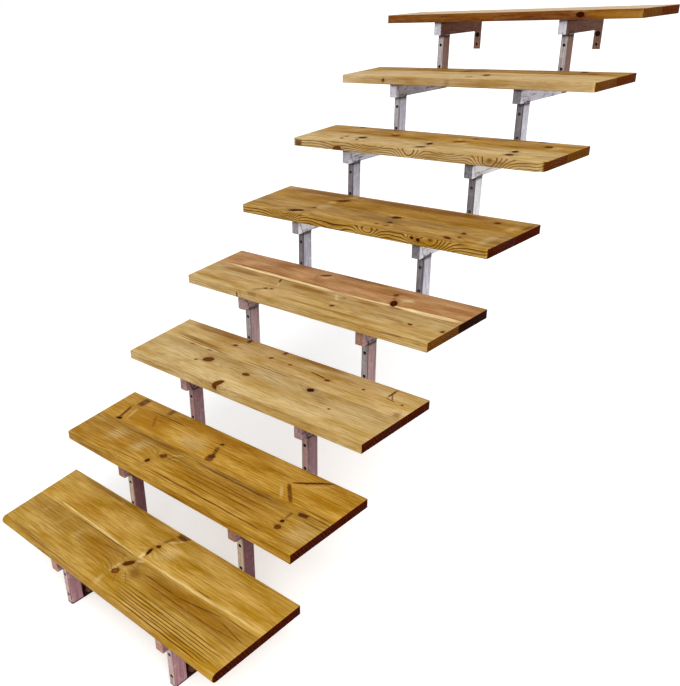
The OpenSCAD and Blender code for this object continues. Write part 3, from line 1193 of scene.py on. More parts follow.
BACK_7 = BoardFigure(
    PineTone.BROWN_TAN, (640, -40), (0, 15), contrast=0.6, seed=75, end=EndTone.RED_BROWN,
    knots=(
        Knot(-75, 222, 26, 50, -30, 0.75), Knot(-50, 288, 30, 24, 0, 0.8), Knot(300, 275, 22, 60, 20, 0.8),
        Knot(352, 212, 40, 20, 30, 0.7),
    ),
    marks=(
        Mark(0, 168, 960, 50, 0.35), Mark(0, 245, 980, 110, -0.3, 0.3), Mark(-120, 197, 160, 16, -0.6, 0.8),
        Mark(250, 203, 200, 16, -0.5, 0.8), Mark(-330, 200, 260, 12, -0.25, 0.8),
        Mark(-330, 285, 240, 40, -0.3, 0.8), Mark(400, 190, 80, 40, -0.3, 0.8),
    ),
)
FRONT_8 = BoardFigure(
    PineTone.CREAM, (-300, -180), (15, 0), edge=PineTone.AMBER, seed=81, end=EndTone.GOLDEN_BROWN,
    knots=(Knot(262, 0, 30, 8, 0, 1, 1.5, z=14, deep=19),),
    marks=(
        Mark(0, 75, 1000, 170, -0.08, 0.2, warm=0.12),
        Mark(440, 0, 400, 12, 0.04, 0.8, warm=0.75, z=10, deep=40),
        # Painted shade: the last mark here, a dark band along the lower rim of the front edge.
        Mark(262, 0, 80, 8, 0.25, 0.9, z=24, deep=10), Mark(0, 0, 1000, 8, -0.4, 0.6, z=3, deep=12),
    ),
)
BACK_8 = BoardFigure(
    PineTone.CREAM, (640, -40), (0, 15), seed=85, end=EndTone.RED_BROWN,
    marks=(Mark(0, 225, 1000, 170, -0.1, 0.2, warm=0.12),),
)

TREAD_FIGURES = (
    TreadFigure(FRONT_1, BACK_1, seam=152),
    TreadFigure(FRONT_2, BACK_2, seam=148),
    TreadFigure(FRONT_3, BACK_3, seam=165),
    TreadFigure(FRONT_4, BACK_4),
    TreadFigure(FRONT_5, BACK_5, corner=10),
    TreadFigure(FRONT_6, BACK_6, corner=24),
    TreadFigure(FRONT_7, BACK_7, corner=12),
    TreadFigure(FRONT_8, BACK_8, corner=14),
)


@dataclass
class Tread:
    """One tread: two boards glued edge to edge, with its left end cut to a slant.

    Nose share is the radius of the lowest tread's round nose as a share of its thickness,
    just under a half. An edge runs along an axis when its direction's part on that axis
    is more than along.
    """

    number: int
    figure: TreadFigure
    finish: PineFinish
    eased: float = 1.6 * MM
    seam_eased: float = 0.5 * MM
    nose_share: float = 0.499
    nose_steps: int = 12
    corner_steps: int = 4
    eased_steps: int = 3
    along: float = 0.9
    tiny: float = 0.1 * MM
    node: str = field(init=False)
    box: Box = field(init=False)
    front_left: float = field(init=False)
    seam_y: float = field(init=False)

    def __post_init__(self) -> None:
        """Takes the tread's place and the front corner of its slanted end from the frame."""
        self.node = f"tread_{self.number}"
        self.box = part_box(self.node)
        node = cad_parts[self.node]
        points = [node.matrix_world @ vertex.co for vertex in node.data.vertices]
        self.front_left = min(point.x for point in points if point.y < self.box[0].y + self.tiny)
        self.seam_y = self.box[0].y + self.figure.seam * MM

    def _cut_end(self, board: Piece) -> None:
        """Cuts a board's left end to the tread's slant.

        Args:
            board: The board, longer than its slanted end.
        """
        low, high = self.box
        front = Vector((self.front_left, low.y, low.z))
        slant = Vector((low.x, high.y, low.z)) - front
        outward = Vector((-slant.y, slant.x, 0.0)).normalized()
        take(board)
        bpy.ops.object.mode_set(mode="EDIT")
        bpy.ops.mesh.select_all(action="SELECT")
        bpy.ops.mesh.bisect(plane_co=front, plane_no=outward, use_fill=True, clear_outer=True)
        leave()

    def _board(self, name: str, low: Vector, high: Vector) -> Piece:
        """Makes one board with a fine bevel at the seam and eased edges elsewhere.

        Args:
            name: Name of the piece.
            low: Lowest corner of the board before its end is cut.
            high: Highest corner of the board.

        Returns:
            The board.
        """
        board = block(name, low, high)
        self._cut_end(board)
        seam, tiny, along = self.seam_y, self.tiny, self.along
        bevel(board, lambda mid, _: abs(mid.y - seam) < tiny, self.seam_eased, 1)
        front = low.y < seam - tiny
        outer = low.y if front else high.y
        if self.number == 1 and front:
            nose, steps = self.nose_share * (high.z - low.z), self.nose_steps
            bevel(board, lambda mid, way: abs(mid.y - outer) < tiny and abs(way.x) > along, nose, steps)
            pick(board, lambda mid, way: abs(way.x) < along and abs(mid.y - seam) > self.eased)
        else:
            if front:
                corner, steps = self.figure.corner * MM, self.corner_steps
                bevel(board, lambda mid, _: abs(mid.y - outer) + abs(mid.x - high.x) < tiny, corner, steps)
            pick(
                board,
                lambda mid, way: abs(mid.y - outer) < tiny
                or (abs(way.y) > along and abs(mid.y - seam) > self.eased),
            )
        bpy.ops.mesh.bevel(offset=self.eased, segments=self.eased_steps, affect="EDGES")
        leave()
        return join(name, [board])

    def build(self) -> list[Piece]:
        """Makes the front board and the back board and dresses them.

        Returns:
            Both boards.
        """
        low, high = self.box
        nose = Vector(((self.front_left + high.x) / 2, low.y, low.z))
        spans = (
            ("front", self.figure.front, low, Vector((high.x, self.seam_y, high.z))),
            ("back", self.figure.back, Vector((low.x, self.seam_y, low.z)), high),
        )
        boards = []
        for end, figure, start, stop in spans:
            board = self._board(f"{self.node}_{end}_board", start, stop)
            material = self.finish.build(f"pine_{self.number}_{end}", figure, nose)
            boards.append(finish_piece(board, material))
        for board in boards:
            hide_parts(self.node)
        return boards


# ---------------------------------------------------------------------------- the steel


class SteelTone(Enum):
    """The tones of the galvanised sheet, from fresh zinc to brown. They are partly the sheet's own colour and
    weathering and partly painted light, shade and reflection, set face by face.
    """

    WHITE = (0.93, 0.93, 0.96)
    LAVENDER = (0.82, 0.82, 0.88)
    SILVER = (0.71, 0.71, 0.77)
    GREY = (0.62, 0.60, 0.64)
    SLATE = (0.50, 0.49, 0.53)
    STONE = (0.76, 0.73, 0.75)
    STRAW = (0.81, 0.75, 0.70)
    BLUSH = (0.78, 0.64, 0.62)
    CLAY = (0.74, 0.53, 0.46)
    ROSE = (0.66, 0.54, 0.55)
    PINK = (0.66, 0.48, 0.51)
    MAUVE = (0.54, 0.41, 0.43)
    PLUM = (0.43, 0.28, 0.31)
    COPPER = (0.62, 0.46, 0.40)
    BARK = (0.50, 0.37, 0.32)
    UMBER = (0.42, 0.27, 0.21)
    # Near-black, used as painted deep shade on the ground plates.
    SOOT = (0.20, 0.11, 0.10)


class SteelPart(Enum):
    """The kinds of steel piece, each with the sizes in millimetres of its sheet's streaks."""

    ARM = (4.0, 60.0, 6.0)
    POST = (2.4, 2.4, 110.0)
    FITTING = (6.0, 6.0, 6.0)


@dataclass(frozen=True)
class SteelFinish:
    """Dull galvanised sheet with streaks, clouds, weld soot, dark patches and painted light and shade.

    Front is the tone of the faces that look down the flight, side that of the others, and
    rear that of the plate at an arm's rear end; front and side differ partly as painted
    light and shade. Shade_and_grime is how dark the sheet gets near the wood, at the
    flap's crease, under the cap and in the post's folds, where shade is painted, near the
    welds, with their soot, and in the fittings' dark patches. Hollow_shade_and_patches is
    how dark the painted shade is inside the channels and in the holes, and on the fittings
    the same patches. Origin is the top of the arm under the tread's nose, in metres, and
    the other lengths are in millimetres from there. Weld_grime and post_shade are heights
    above the arm's lower edge. The flap's slanted edge, the weld, the channel, the post's
    folds and the painted highlight down the post's front each have a middle, a reach and
    a softness. A noise is its scale, detail and roughness. A span takes a value to how
    strongly it shows. Varied is how far the roughness ranges.
    """

    part: SteelPart
    front: SteelTone
    side: SteelTone
    rear: SteelTone
    origin: Triple = ZERO
    shade_and_grime: float = 0.85
    hollow_shade_and_patches: float = 0.86
    half: float = 12.5
    arm_height: float = 43.0
    skin: float = 1.5
    soft: float = 0.4
    flap: Triple = (19.5, 1.2, 1.6)
    flap_slope: float = 0.372
    weld: Triple = (59.0, 19.0, 8.0)
    channel: Triple = (154.0, 140.0, 0.5)
    plate: Span = (120.0, 160.0)
    post_inside: Span = (41.0, 41.6)
    holes: tuple[float, float] = (76.0, 148.0)
    hole: tuple[float, float] = (4.8, 0.6)
    fold: Triple = (10.3, 0.3, 1.2)
    fold_shade: float = 0.75
    front_highlight: Triple = (3.0, 0.8, 1.8)
    highlight_clouds: Span = (0.3, 0.6, 0.1, 0.6)
    tread_shadow: Span = (-10.0, -1.0)
    weld_grime: tuple[float, float] = (14.0, 2.0)
    weld_patches: Span = (0.46, 0.62)
    post_shade: tuple[float, float] = (-14.0, -3.0)
    fitting_patches: Span = (0.6, 0.8, 0.0, 0.5)
    streak_noise: Triple = (1.0, 3.0, 0.6)
    cloud_noise: Triple = (60.0, 4.0, 0.65)
    patch_noise: Triple = (150.0, 2.0, 0.5)
    spangle_scale: float = 300.0
    spangle: float = 0.15
    facing: Span = (0.5, 0.85)
    dark_streaks: Span = (0.48, 0.72)
    pale_streaks: Span = (0.46, 0.3, 0.0, 0.6)
    clouds: Span = (0.5, 0.7, 0.0, 0.8)
    shadow_and_soot: Triple = (0.07, 0.04, 0.04)
    lift: float = 0.35
    sink: float = 0.5
    streak_relief: float = 0.6
    varied: float = 0.3
    roughness: float = 0.45
    metallic: float = 0.6
    specular: float = 0.5

    def _worn(self, bench: Bench, tone: SteelTone, level: Feed) -> Socket:
        """Darkens or lifts a tone, the less so the darker the tone is.

        Args:
            bench: The material's bench.
            tone: The tone of the sheet.
            level: From -1, its darkest streaks, to 1, its brightest.

        Returns:
            The colour.
        """
        colour = tone.value
        clear = min(1.0, 0.5 * sum(colour))
        dark = shade(tuple(self.sink * part for part in colour))
        pale = shade(tuple(part + self.lift * (1.0 - part) for part in colour))
        lifted = bench.blend(bench.times(level, clear * clear, clamp=True), shade(colour), pale)
        return bench.blend(bench.times(level, -clear, clamp=True), lifted, dark)

    def _arm_shade_and_soot(self, bench: Bench, point: Socket, patch: Socket) -> tuple[Socket, Socket]:
        """Finds the painted shade and the weld soot on an arm.

        Args:
            bench: The material's bench.
            point: The place, in millimetres from the origin.
            patch: Blotches from 0 to 1.

        Returns:
            How dark the painted shade and the weld soot make the arm, and whether the place is inside its
            channel, where shade is painted.
        """
        x, y, z = bench.split(point)
        # Painted shade: a dark band along the top of the arm, under the tread.
        wood = bench.span(z, *self.tread_shadow)
        # Painted shade along the crease at the flap's slanted edge.
        flap_crease_shade = bench.near(bench.linear(z, self.flap_slope, y), *self.flap)
        low = bench.span(z, *(edge - self.arm_height for edge in self.weld_grime))
        welded = bench.times(bench.near(y, *self.weld), low)
        welded = bench.times(welded, bench.span(patch, *self.weld_patches))
        middle = self.arm_height / 2
        # Painted shade inside the arm's channel.
        inside = bench.near(x, 0.0, self.half - self.skin, self.soft)
        inside = bench.times(inside, bench.near(y, *self.channel))
        inside = bench.times(inside, bench.near(z, -middle, middle - self.skin, self.soft))
        return bench.most(bench.most(wood, flap_crease_shade), welded), inside

    def _post_shade(self, bench: Bench, point: Socket, facing: Socket) -> tuple[Socket, Socket]:
        """Finds where shade is painted on a post.

        Args:
            bench: The material's bench.
            point: The place, in millimetres from the origin.
            facing: Whether the face looks down the flight, from 0 to 1.

        Returns:
            How dark the painted shade under the cap and in the front folds makes the post, and whether the
            place is in a hole or inside the channel, where shade is painted too.
        """
        x, y, z = bench.split(point)
        # Painted shade: a dark band just under the cap.
        shade_and_grime = bench.span(z, *(edge - self.arm_height for edge in self.post_shade))
        # Painted shade in the folds of the post's front face.
        folds = bench.near(bench.math("ABSOLUTE", x), *self.fold)
        shade_and_grime = bench.most(shade_and_grime, bench.times(bench.times(folds, facing), self.fold_shade))
        # Painted shade inside the open channel.
        back = bench.span(y, *self.post_inside)
        hollow_shade_and_patches = bench.times(bench.near(x, 0.0, self.half - self.skin, self.soft), back)
        # Painted shade: a dark disc round each hole.
        for drop in self.holes:
            away = bench.length(bench.combine(x, 0.0, bench.math("ADD", z, drop)))
            hollow_shade_and_patches = bench.most(hollow_shade_and_patches, bench.near(away, 0.0, *self.hole))
        return shade_and_grime, hollow_shade_and_patches

    def build(self, name: str) -> Material:
        """Makes the material.

        Args:
            name: Name of the material.

        Returns:
            The material.
        """
        material, bench = new_material(name)
        coordinates = bench.put("ShaderNodeTexCoord").outputs
        place = coordinates["Object"]
        point = bench.placed(place, tuple(self.origin))
        facing = bench.span(bench.math("ABSOLUTE", bench.split(coordinates["Normal"])[1]), *self.facing)
        sizes = tuple(size * MM for size in self.part.value)
        streak = bench.noise(bench.placed(place, size=sizes), *self.streak_noise).outputs[0]
        cloud = bench.noise(place, *self.cloud_noise).outputs[0]
        patch = bench.noise(place, *self.patch_noise).outputs[0]
        cells = bench.put("ShaderNodeTexVoronoi", {"Vector": place, "Scale": self.spangle_scale})
        flake = bench.split(cells.outputs["Color"])[0]

        level = bench.times(bench.span(streak, *self.dark_streaks), -1.0)
        level = bench.math("ADD", level, bench.span(streak, *self.pale_streaks))
        level = bench.math("ADD", level, bench.span(cloud, *self.clouds))
        level = bench.linear(flake, self.spangle, level)
        front, side, rear = (self._worn(bench, tone, level) for tone in (self.front, self.side, self.rear))
        far = bench.span(bench.split(point)[1], *self.plate)
        # Front faces and the other faces take tones that differ as lit and shaded copies of one sheet:
        # painted light and shade.
        tone = bench.blend(facing, side, bench.blend(far, front, rear))
        if self.part is SteelPart.POST:
            # Painted highlight: a pale stripe down the post's front face, broken up by the clouds.
            front_highlight = bench.times(bench.near(bench.split(point)[0], *self.front_highlight), facing)
            front_highlight = bench.times(front_highlight, bench.span(cloud, *self.highlight_clouds))
            tone = bench.blend(front_highlight, tone, self._worn(bench, self.front, 1.0))
            shade_and_grime, hollow_shade_and_patches = self._post_shade(bench, point, facing)
        elif self.part is SteelPart.ARM:
            shade_and_grime, hollow_shade_and_patches = self._arm_shade_and_soot(bench, point, patch)
        else:
            # Fittings: the sheet's own dark patches of dirt, in both masks.
            shade_and_grime = hollow_shade_and_patches = bench.span(patch, *self.fitting_patches)
        # Lays the dark colour over the painted shade, the weld soot and the fittings' patches.
        for cover, strength in ((shade_and_grime, self.shade_and_grime), (hollow_shade_and_patches, self.hollow_shade_and_patches)):
            tone = bench.blend(bench.times(cover, strength), tone, shade(self.shadow_and_soot))

        sheen = bench.put("ShaderNodeRGBToBW", {0: tone}).outputs[0]
        feeds = {
            "Base Color": tone,
            "Metallic": bench.times(sheen, self.metallic),
            "Roughness": bench.linear(cloud, self.varied, self.roughness - self.varied / 2),
            "Specular IOR Level": bench.times(sheen, self.specular),
        }
        bench.surface((*RELIEF, bench.linear(streak, self.streak_relief, flake)), feeds)
        return material


def fitting_steel(name: str, tone: SteelTone, shade_and_grime: float = 0.85) -> Material:
    """Makes the finish of a small steel piece, which has one tone all over."""
    return SteelFinish(SteelPart.FITTING, tone, tone, tone, shade_and_grime=shade_and_grime).build(name)


@dataclass(frozen=True)
class HoleShadeFinish:
    """A matt near-black with a fine grain, for the dark discs of painted shade in the tab holes."""

    dark: Triple = (0.09, 0.06, 0.06)
    pale: Triple = (0.17, 0.12, 0.11)
    grain_noise: Triple = (900.0, 3.0, 0.5)
    roughness: float = 0.8
    specular: float = 0.2

    def build(self, name: str) -> Material:
        """Makes the material.

        Args:
            name: Name of the material.

        Returns:
            The material.
        """
        material, bench = new_material(name)
        place = bench.put("ShaderNodeTexCoord").outputs["Object"]
        grain = bench.noise(place, *self.grain_noise).outputs[0]
        feeds = {
            "Base Color": bench.blend(grain, shade(self.dark), shade(self.pale)),
            "Roughness": self.roughness,
            "Specular IOR Level": self.specular,
        }
        bench.surface((*RELIEF, grain), feeds)
        return material


@dataclass(frozen=True)
class BracketTones:
    """The tones of one bracket's cap, of its arm, and of its post's front and sides, which differ face by
    face as painted light and shade.
    """

    cap: SteelTone
    arm: SteelTone
    front: SteelTone
    side: SteelTone
    plate: SteelTone = SteelTone.ROSE


def bracket_tones() -> dict[str, tuple[BracketTones, ...]]:
    """Gives the tones of the brackets, which paint light, shade and reflection face by face.

    Returns:
        Each row's brackets, from the ground up, by side.
    """
    tone = SteelTone
    # Lowest three: pink and brown, partly the sheet's own weathering and partly painted shade near the
    # ground, with sides painted darker than fronts.
    low = (
        BracketTones(tone.CLAY, tone.MAUVE, tone.BLUSH, tone.PINK),
        BracketTones(tone.COPPER, tone.MAUVE, tone.STRAW, tone.PLUM),
        BracketTones(tone.ROSE, tone.MAUVE, tone.ROSE, tone.MAUVE),
    )
    # Highest bracket: the umber arm sides and bark post sides are a painted reflection of the dark wood
    # above, with painted shade under the top tread.
    top = BracketTones(tone.LAVENDER, tone.UMBER, tone.STONE, tone.BARK, tone.COPPER)
    # Brackets 4 to 7: the tones of caps, arms, post fronts and post sides are set apart face by face as
    # painted light and shade, mostly with lit sides and shaded fronts.
    left = (
        BracketTones(tone.ROSE, tone.ROSE, tone.GREY, tone.ROSE),
        BracketTones(tone.GREY, tone.WHITE, tone.SLATE, tone.SILVER),
        BracketTones(tone.SILVER, tone.LAVENDER, tone.SLATE, tone.SILVER),
        BracketTones(tone.LAVENDER, tone.GREY, tone.SILVER, tone.SILVER),
    )
    right = (
        BracketTones(tone.COPPER, tone.ROSE, tone.GREY, tone.ROSE),
        BracketTones(tone.SLATE, tone.WHITE, tone.SLATE, tone.LAVENDER),
        BracketTones(tone.SLATE, tone.WHITE, tone.SLATE, tone.WHITE),
        BracketTones(tone.SLATE, tone.LAVENDER, tone.SLATE, tone.LAVENDER),
    )
    return {"left": (*low, *left, top), "right": (*low, *right, top)}


def arm_top(side: str, number: int, rear: bool = False) -> Vector:
    """Finds a place on the centre line of an arm's top.

    Args:
        side: The arm's row.
        number: The arm's number, counted from the ground.
        rear: True for the arm's rear end, False for the place under its tread's nose.

    Returns:
        The place, in metres.
    """
    low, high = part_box(f"{side}_arm_{number}")
    y = high.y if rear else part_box(f"tread_{number}")[0].y
    return Vector(((low.x + high.x) / 2, y, high.z))


def arm_places(kind: str) -> dict[str, Vector]:
    """Names a piece of one kind for every arm and finds where each arm passes the nose."""
    arms = [(side, number) for side in SIDES for number in range(1, TREADS + 1)]
    return {f"{side}_{kind}_{number}": arm_top(side, number) for side, number in arms}


@dataclass
class Bracket:
    """One folded step bracket, whose arm and post the frame already holds."""

    side: str
    number: int
    tones: BracketTones

    def dress(self) -> None:
        """Gives the arm and the post their finishes."""
        tones = self.tones
        origin = arm_top(self.side, self.number)
        finishes = {
            "arm": SteelFinish(SteelPart.ARM, tones.cap, tones.arm, tones.plate, origin),
            "post": SteelFinish(SteelPart.POST, tones.front, tones.side, tones.front, origin),
        }
        for part, finish in finishes.items():
            name = f"{self.side}_{part}_{self.number}"
            dress_node(name, finish.build(f"galvanised_{name}"))


@dataclass
class Foot:
    """One ground plate, whose shape the frame already holds."""

    side: str
    # The plate's near-black tone is painted shade: it lies in deep shade under the lowest tread.
    tone: SteelTone = SteelTone.SOOT

    def dress(self) -> None:
        """Gives the plate a near-black tone with darker patches, which is painted deep shade."""
        name = f"{self.side}_foot"
        dress_node(name, fitting_steel(f"steel_{name}", self.tone))


# ----------------------------------------------------------------- what holds it together


@dataclass
class Fixing:
    """What is modelled at its first place and copied to the others."""

    finish: Material

    def places(self) -> dict[str, Vector]:
        """Names each piece and says where it hangs from."""
        raise NotImplementedError

    def model(self, first: Vector) -> Piece:
        """Models the piece at its first place."""
        raise NotImplementedError

    def build(self) -> list[Piece]:
        """Copies the model to every place and takes the model away.

        Returns:
            The copies, finished and riding.
        """
        places = self.places()
        first = next(iter(places.values()))
        pattern = self.model(first)
        copies = []
        for name, place in places.items():
            copies.append(finish_piece(copy_to(pattern, name, place - first), self.finish))
        bpy.data.objects.remove(pattern)
        return copies


@dataclass
class Threaded(Fixing):
    """Sizes and shapes that bolts and anchors share."""

    radius: float = 4.0 * MM
    corners: float = 7.5 * MM
    washer_radius: float = 7.4 * MM
    washer: float = 1.6 * MM
    nut: float = 6.5 * MM
    beyond: float = 3.0 * MM
    washer_eased: float = 0.3 * MM
    nut_eased: float = 0.7 * MM
    tip_eased: float = 0.6 * MM

    def _stack(self, face: Vector, way: Vector, height: float) -> list[Piece]:
        """Makes a washer and the nut or bolt head on it.

        Args:
            face: Middle of the face that the washer lies on.
            way: Where that face points.
            height: Height of the nut or head, in metres.

        Returns:
            Both parts.
        """
        start = face + self.washer * way
        disc = rod("washer", DISC_SIDES, self.washer_radius, face, start)
        chamfer(disc, self.washer_eased, 1, way)
        hexagon = rod("hexagon", NUT_SIDES, self.corners, start, start + height * way)
        chamfer(hexagon, self.nut_eased, 2, way)
        return [disc, hexagon]

    def _shank(self, start: Vector, end: Vector) -> Piece:
        """Makes a threaded rod.

        Args:
            start: Middle of its hidden end.
            end: Middle of its free end, which is eased.

        Returns:
            The rod.
        """
        shank = rod("shank", SHANK_SIDES, self.radius, start, end)
        chamfer(shank, self.tip_eased, 1, (end - start).normalized())
        return shank


@dataclass
class JointBolts(Threaded):
    """The two bolts that join one bracket's arm to the next bracket's post."""

    head: float = 5.3 * MM
    plate: float = 5.0 * MM
    sheet: float = 2.5 * MM
    drops: tuple[float, float] = (11.0 * MM, 32.0 * MM)

    def places(self) -> dict[str, Vector]:
        """Takes the rear end of each arm but the highest two."""
        arms = [(side, number) for side in SIDES for number in range(1, TREADS)]
        return {f"{side}_joint_bolts_{number + 1}": arm_top(side, number, rear=True) for side, number in arms}

    def model(self, first: Vector) -> Piece:
        """Models both bolts, each through the arm's plate and the post's sheet.

        Args:
            first: The first place.

        Returns:
            The bolts of one joint.
        """
        parts = []
        for drop in self.drops:
            middle = first - drop * UP
            front = middle - self.plate * BACK
            rear = middle + self.sheet * BACK
            parts += self._stack(front, -BACK, self.head) + self._stack(rear, BACK, self.nut)
            start = front - (self.washer + 0.5 * self.head) * BACK
            parts.append(self._shank(start, rear + (self.washer + self.nut + self.beyond) * BACK))
        return join("joint_bolts", parts)


@dataclass
class Anchors(Threaded):
    """The anchors that hold a foot to the ground."""

    radius: float = 5.0 * MM
    corners: float = 9.2 * MM
    washer_radius: float = 10.0 * MM
    washer: float = 2.0 * MM
    nut: float = 8.0 * MM
    inset: float = 12.5 * MM
    from_rear: float = 28.0 * MM

    def places(self) -> dict[str, Vector]:
        """Takes the highest corner of each foot."""
        return {f"{side}_anchors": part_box(f"{side}_foot")[1] for side in SIDES}

    def model(self, first: Vector) -> Piece:
        """Models both anchors of the foot whose highest corner is the first place.

        Args:
            first: The first place.

        Returns:
            The anchors of one foot.
        """
        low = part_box(f"{SIDES[0]}_foot")[0]
        parts = []
        for x in (low.x + self.inset, first.x - self.inset):
            face = Vector((x, first.y - self.from_rear, first.z))
            parts += self._stack(face, UP, self.nut)
            bottom = Vector((x, face.y, low.z))
            parts.append(self._shank(bottom, face + (self.washer + self.nut + self.beyond) * UP))
        return join("anchors", parts)


@dataclass
class TreadScrews(Fixing):
    """The three screws inside an arm's channel that hold its tread."""

    radius: float = 4.6 * MM
    head: float = 2.8 * MM
    sheet: float = 2.5 * MM
    dome: float = 1.4 * MM
    rim: float = 1.2 * MM
    recess: float = 1.3 * MM
    from_nose: tuple[float, ...] = (75.0 * MM, 165.0 * MM, 255.0 * MM)

    def places(self) -> dict[str, Vector]:
        """Takes the top of every arm."""
        return arm_places("tread_screws")

    def model(self, first: Vector) -> Piece:
        """Models the heads of the screws, each with a round recess.

        Args:
            first: The first place.

        Returns:
            The screws of one arm.
        """
        heads = []
        for y in self.from_nose:
            face = first + y * BACK - self.sheet * UP
            head = rod("head", SHANK_SIDES, self.radius, face, face - self.head * UP)
            chamfer(head, self.dome, 3, -UP)
            hollow_out(head, self.rim, self.recess, -UP)
            heads.append(head)
        return join("tread_screws", heads)


@dataclass
class Welds(Fixing):
    """The beads that join a post to its arm, one on either side."""

    half: float = 12.5 * MM
    drop: float = 43.0 * MM
    start: float = 44.5 * MM
    count: int = 10
    step: float = 3.6 * MM
    size: Triple = (1.1 * MM, 2.9 * MM, 2.3 * MM)
    lean: float = 20.0
    segments: int = 10
    rings: int = 6
    smooth: float = 60.0

    def places(self) -> dict[str, Vector]:
        """Takes the top of every arm."""
        return arm_places("welds")

    def model(self, first: Vector) -> Piece:
        """Models both beads as rows of overlapping drops.

        Args:
            first: The first place.

        Returns:
            The beads of one bracket.
        """
        beads = []
        for x in (-self.half, self.half):
            clear_selection()
            spot = first + Vector((x, self.start, -self.drop))
            bpy.ops.mesh.primitive_uv_sphere_add(
                segments=self.segments, ring_count=self.rings, radius=1.0, location=spot
            )
            bead = bpy.context.object
            bead.scale = self.size
            bead.rotation_euler.x = radians(self.lean)
            settle(bead)
            row = bead.modifiers.new("row", "ARRAY")
            row.use_relative_offset = False
            row.use_constant_offset = True
            row.constant_offset_displace = self.step * BACK
            row.count = self.count
            bpy.ops.object.modifier_apply(modifier=row.name)
            beads.append(bead)
        return join("welds", beads, self.smooth)


@dataclass
class TabShadeDiscs(Fixing):
    """Dark discs in the holes of the top tabs, sunk and dished: painted shade for the dark seen through the
    open holes.
    """

    plate: float = 5.0 * MM
    sunk: float = 0.6 * MM
    dish: float = 0.8 * MM
    rim_share: float = 0.25
    holes: tuple[tuple[float, float], ...] = ((57.0 * MM, 9.0 * MM), (90.0 * MM, 4.5 * MM))

    def places(self) -> dict[str, Vector]:
        """Takes the rear end of the highest arms."""
        return {f"{side}_tab_shade_discs": arm_top(side, TREADS, rear=True) for side in SIDES}

    def model(self, first: Vector) -> Piece:
        """Models a dark disc of painted shade for each hole, sunk a little and dished at both ends.

        Args:
            first: The first place.

        Returns:
            The dark discs of one tab.
        """
        shade_discs = []
        for drop, radius in self.holes:
            rear = first - self.sunk * BACK - drop * UP
            # Each dark disc is painted shade in an open hole.
            shade_disc = rod("shade_disc", DISC_SIDES, radius, rear, rear - (self.plate - 2 * self.sunk) * BACK)
            for way in (BACK, -BACK):
                hollow_out(shade_disc, self.rim_share * radius, self.dish, way)
            shade_discs.append(shade_disc)
        return join("tab_shade_discs", shade_discs)


# ----------------------------------------------------------------------- camera and room


@dataclass(frozen=True)
class Viewpoint:
    """The camera: someone standing to the right of the foot of the flight."""

    place: Triple = (1.179, -2.9325, 0.128)
    heading: float = 45.86
    tilt: float = -25.87
    roll: float = -2.98
    lens: float = 41.03
    sensor: float = 36.0
    shift: tuple[float, float] = (0.1458, 0.0519)
    reach: float = 200.0

    def build(self) -> None:
        """Makes the camera and looks through it."""
        data = bpy.data.cameras.new("viewpoint")
        data.sensor_width = self.sensor
        data.lens = self.lens
        data.shift_x, data.shift_y = self.shift
        data.clip_end = self.reach
        camera = bpy.data.objects.new("viewpoint", data)
        turn = Matrix.Identity(4)
        for angle, axis in ((self.heading, "Z"), (90.0 + self.tilt, "X"), (self.roll, "Z")):
            turn = turn @ Matrix.Rotation(radians(angle), 4, axis)
        camera.matrix_world = Matrix.Translation(self.place) @ turn
        bpy.context.collection.objects.link(camera)
        bpy.context.scene.camera = camera


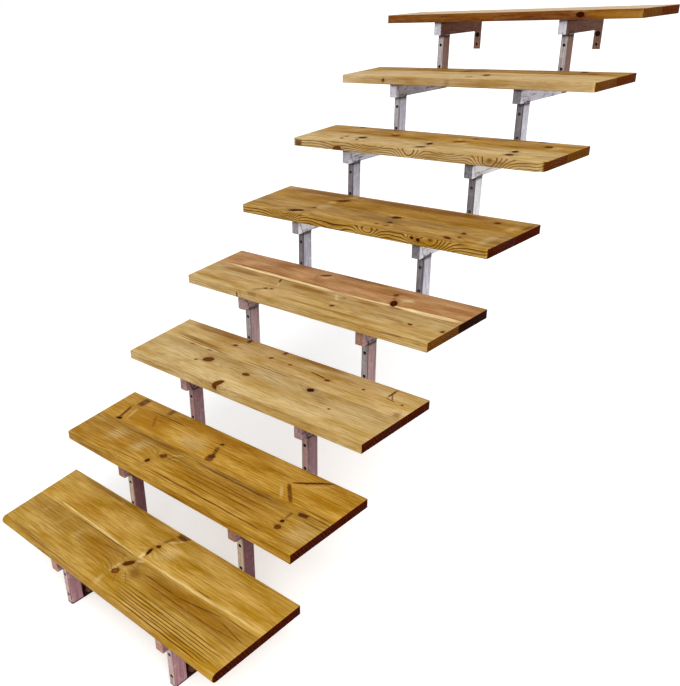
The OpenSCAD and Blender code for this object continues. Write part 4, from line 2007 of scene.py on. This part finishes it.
@dataclass(frozen=True)
class Studio:
    """A pale floor under a soft sky and one large soft lamp."""

    floor_size: float = 120.0
    floor_tone: Triple = (0.94, 0.94, 0.94)
    floor_glow: float = 0.4
    sky: float = 0.55
    lamp: float = 2.1
    lamp_from: Triple = (0.62, -0.50, 0.78)
    lamp_spread: float = 35.0

    def _floor(self) -> None:
        """Lays the floor just under the lowest point of the object."""
        clear_selection()
        bpy.ops.mesh.primitive_plane_add(size=self.floor_size, location=(0.0, 0.0, CAD_BOX[0].z))
        floor = settle(bpy.context.object)
        floor.name = "floor"
        material, bench = new_material("pale_floor")
        diffuse = bench.put("ShaderNodeBsdfDiffuse", {"Color": shade(self.floor_tone)})
        seen = bench.put("ShaderNodeLightPath").outputs["Is Camera Ray"]
        emission = bench.put("ShaderNodeEmission", {"Strength": bench.times(seen, self.floor_glow)})
        total = bench.put("ShaderNodeAddShader", {0: diffuse.outputs[0], 1: emission.outputs[0]})
        bench.put("ShaderNodeOutputMaterial", {0: total.outputs[0]})
        floor.data.materials.append(material)

    def _sky(self) -> None:
        """Lights the room evenly and shows white behind and in reflections."""
        world = bpy.data.worlds.new("soft_sky")
        bpy.context.scene.world = world
        world.use_nodes = True
        world.node_tree.nodes.clear()
        bench = Bench(world.node_tree)
        path = bench.put("ShaderNodeLightPath").outputs
        seen = bench.most(path["Is Camera Ray"], path["Is Transmission Ray"])
        seen = bench.most(seen, path["Is Glossy Ray"])
        strength = bench.linear(seen, 1.0 - self.sky, self.sky)
        background = bench.put("ShaderNodeBackground", {"Color": (1.0, 1.0, 1.0, 1.0), "Strength": strength})
        bench.put("ShaderNodeOutputWorld", {0: background.outputs[0]})

    def _lamp(self) -> None:
        """Hangs the lamp."""
        data = bpy.data.lights.new("soft_lamp", "SUN")
        data.energy = self.lamp
        data.angle = radians(self.lamp_spread)
        lamp = bpy.data.objects.new("soft_lamp", data)
        lamp.rotation_euler = Vector(self.lamp_from).to_track_quat("Z", "Y").to_euler()
        bpy.context.collection.objects.link(lamp)

    def build(self) -> None:
        """Builds the floor, the sky and the lamp."""
        self._floor()
        self._sky()
        self._lamp()
        bpy.context.scene.view_settings.view_transform = "Standard"


def main() -> None:
    """Builds the camera and the room, then dresses the staircase from the ground up."""
    logging.basicConfig(level=logging.INFO, format="%(name)s: %(message)s")
    Viewpoint().build()
    Studio().build()
    pine = PineFinish(build_knot_group(), build_mark_group())
    for number, figure in enumerate(TREAD_FIGURES, start=1):
        for board in Tread(number, figure, pine).build():
            log.info("%s: %d faces", board.name, len(board.data.polygons))
    for side, rows in bracket_tones().items():
        for number, tones in enumerate(rows, start=1):
            Bracket(side, number, tones).dress()
        Foot(side).dress()
        log.info("%s row: %d brackets and a foot dressed", side, len(rows))
    zinc = fitting_steel("zinc_fixings", SteelTone.LAVENDER, shade_and_grime=0.4)
    fixings = (
        JointBolts(zinc),
        Anchors(fitting_steel("scaled_anchors", SteelTone.UMBER)),
        TreadScrews(zinc),
        Welds(fitting_steel("weld_seam", SteelTone.SLATE)),
        # Dark discs of painted shade in the top tabs' holes.
        TabShadeDiscs(HoleShadeFinish().build("hole_shade_black")),
    )
    for fixing in fixings:
        for piece in fixing.build():
            log.info("%s: %d faces", piece.name, len(piece.data.polygons))


if __name__ == "__main__":
    main()
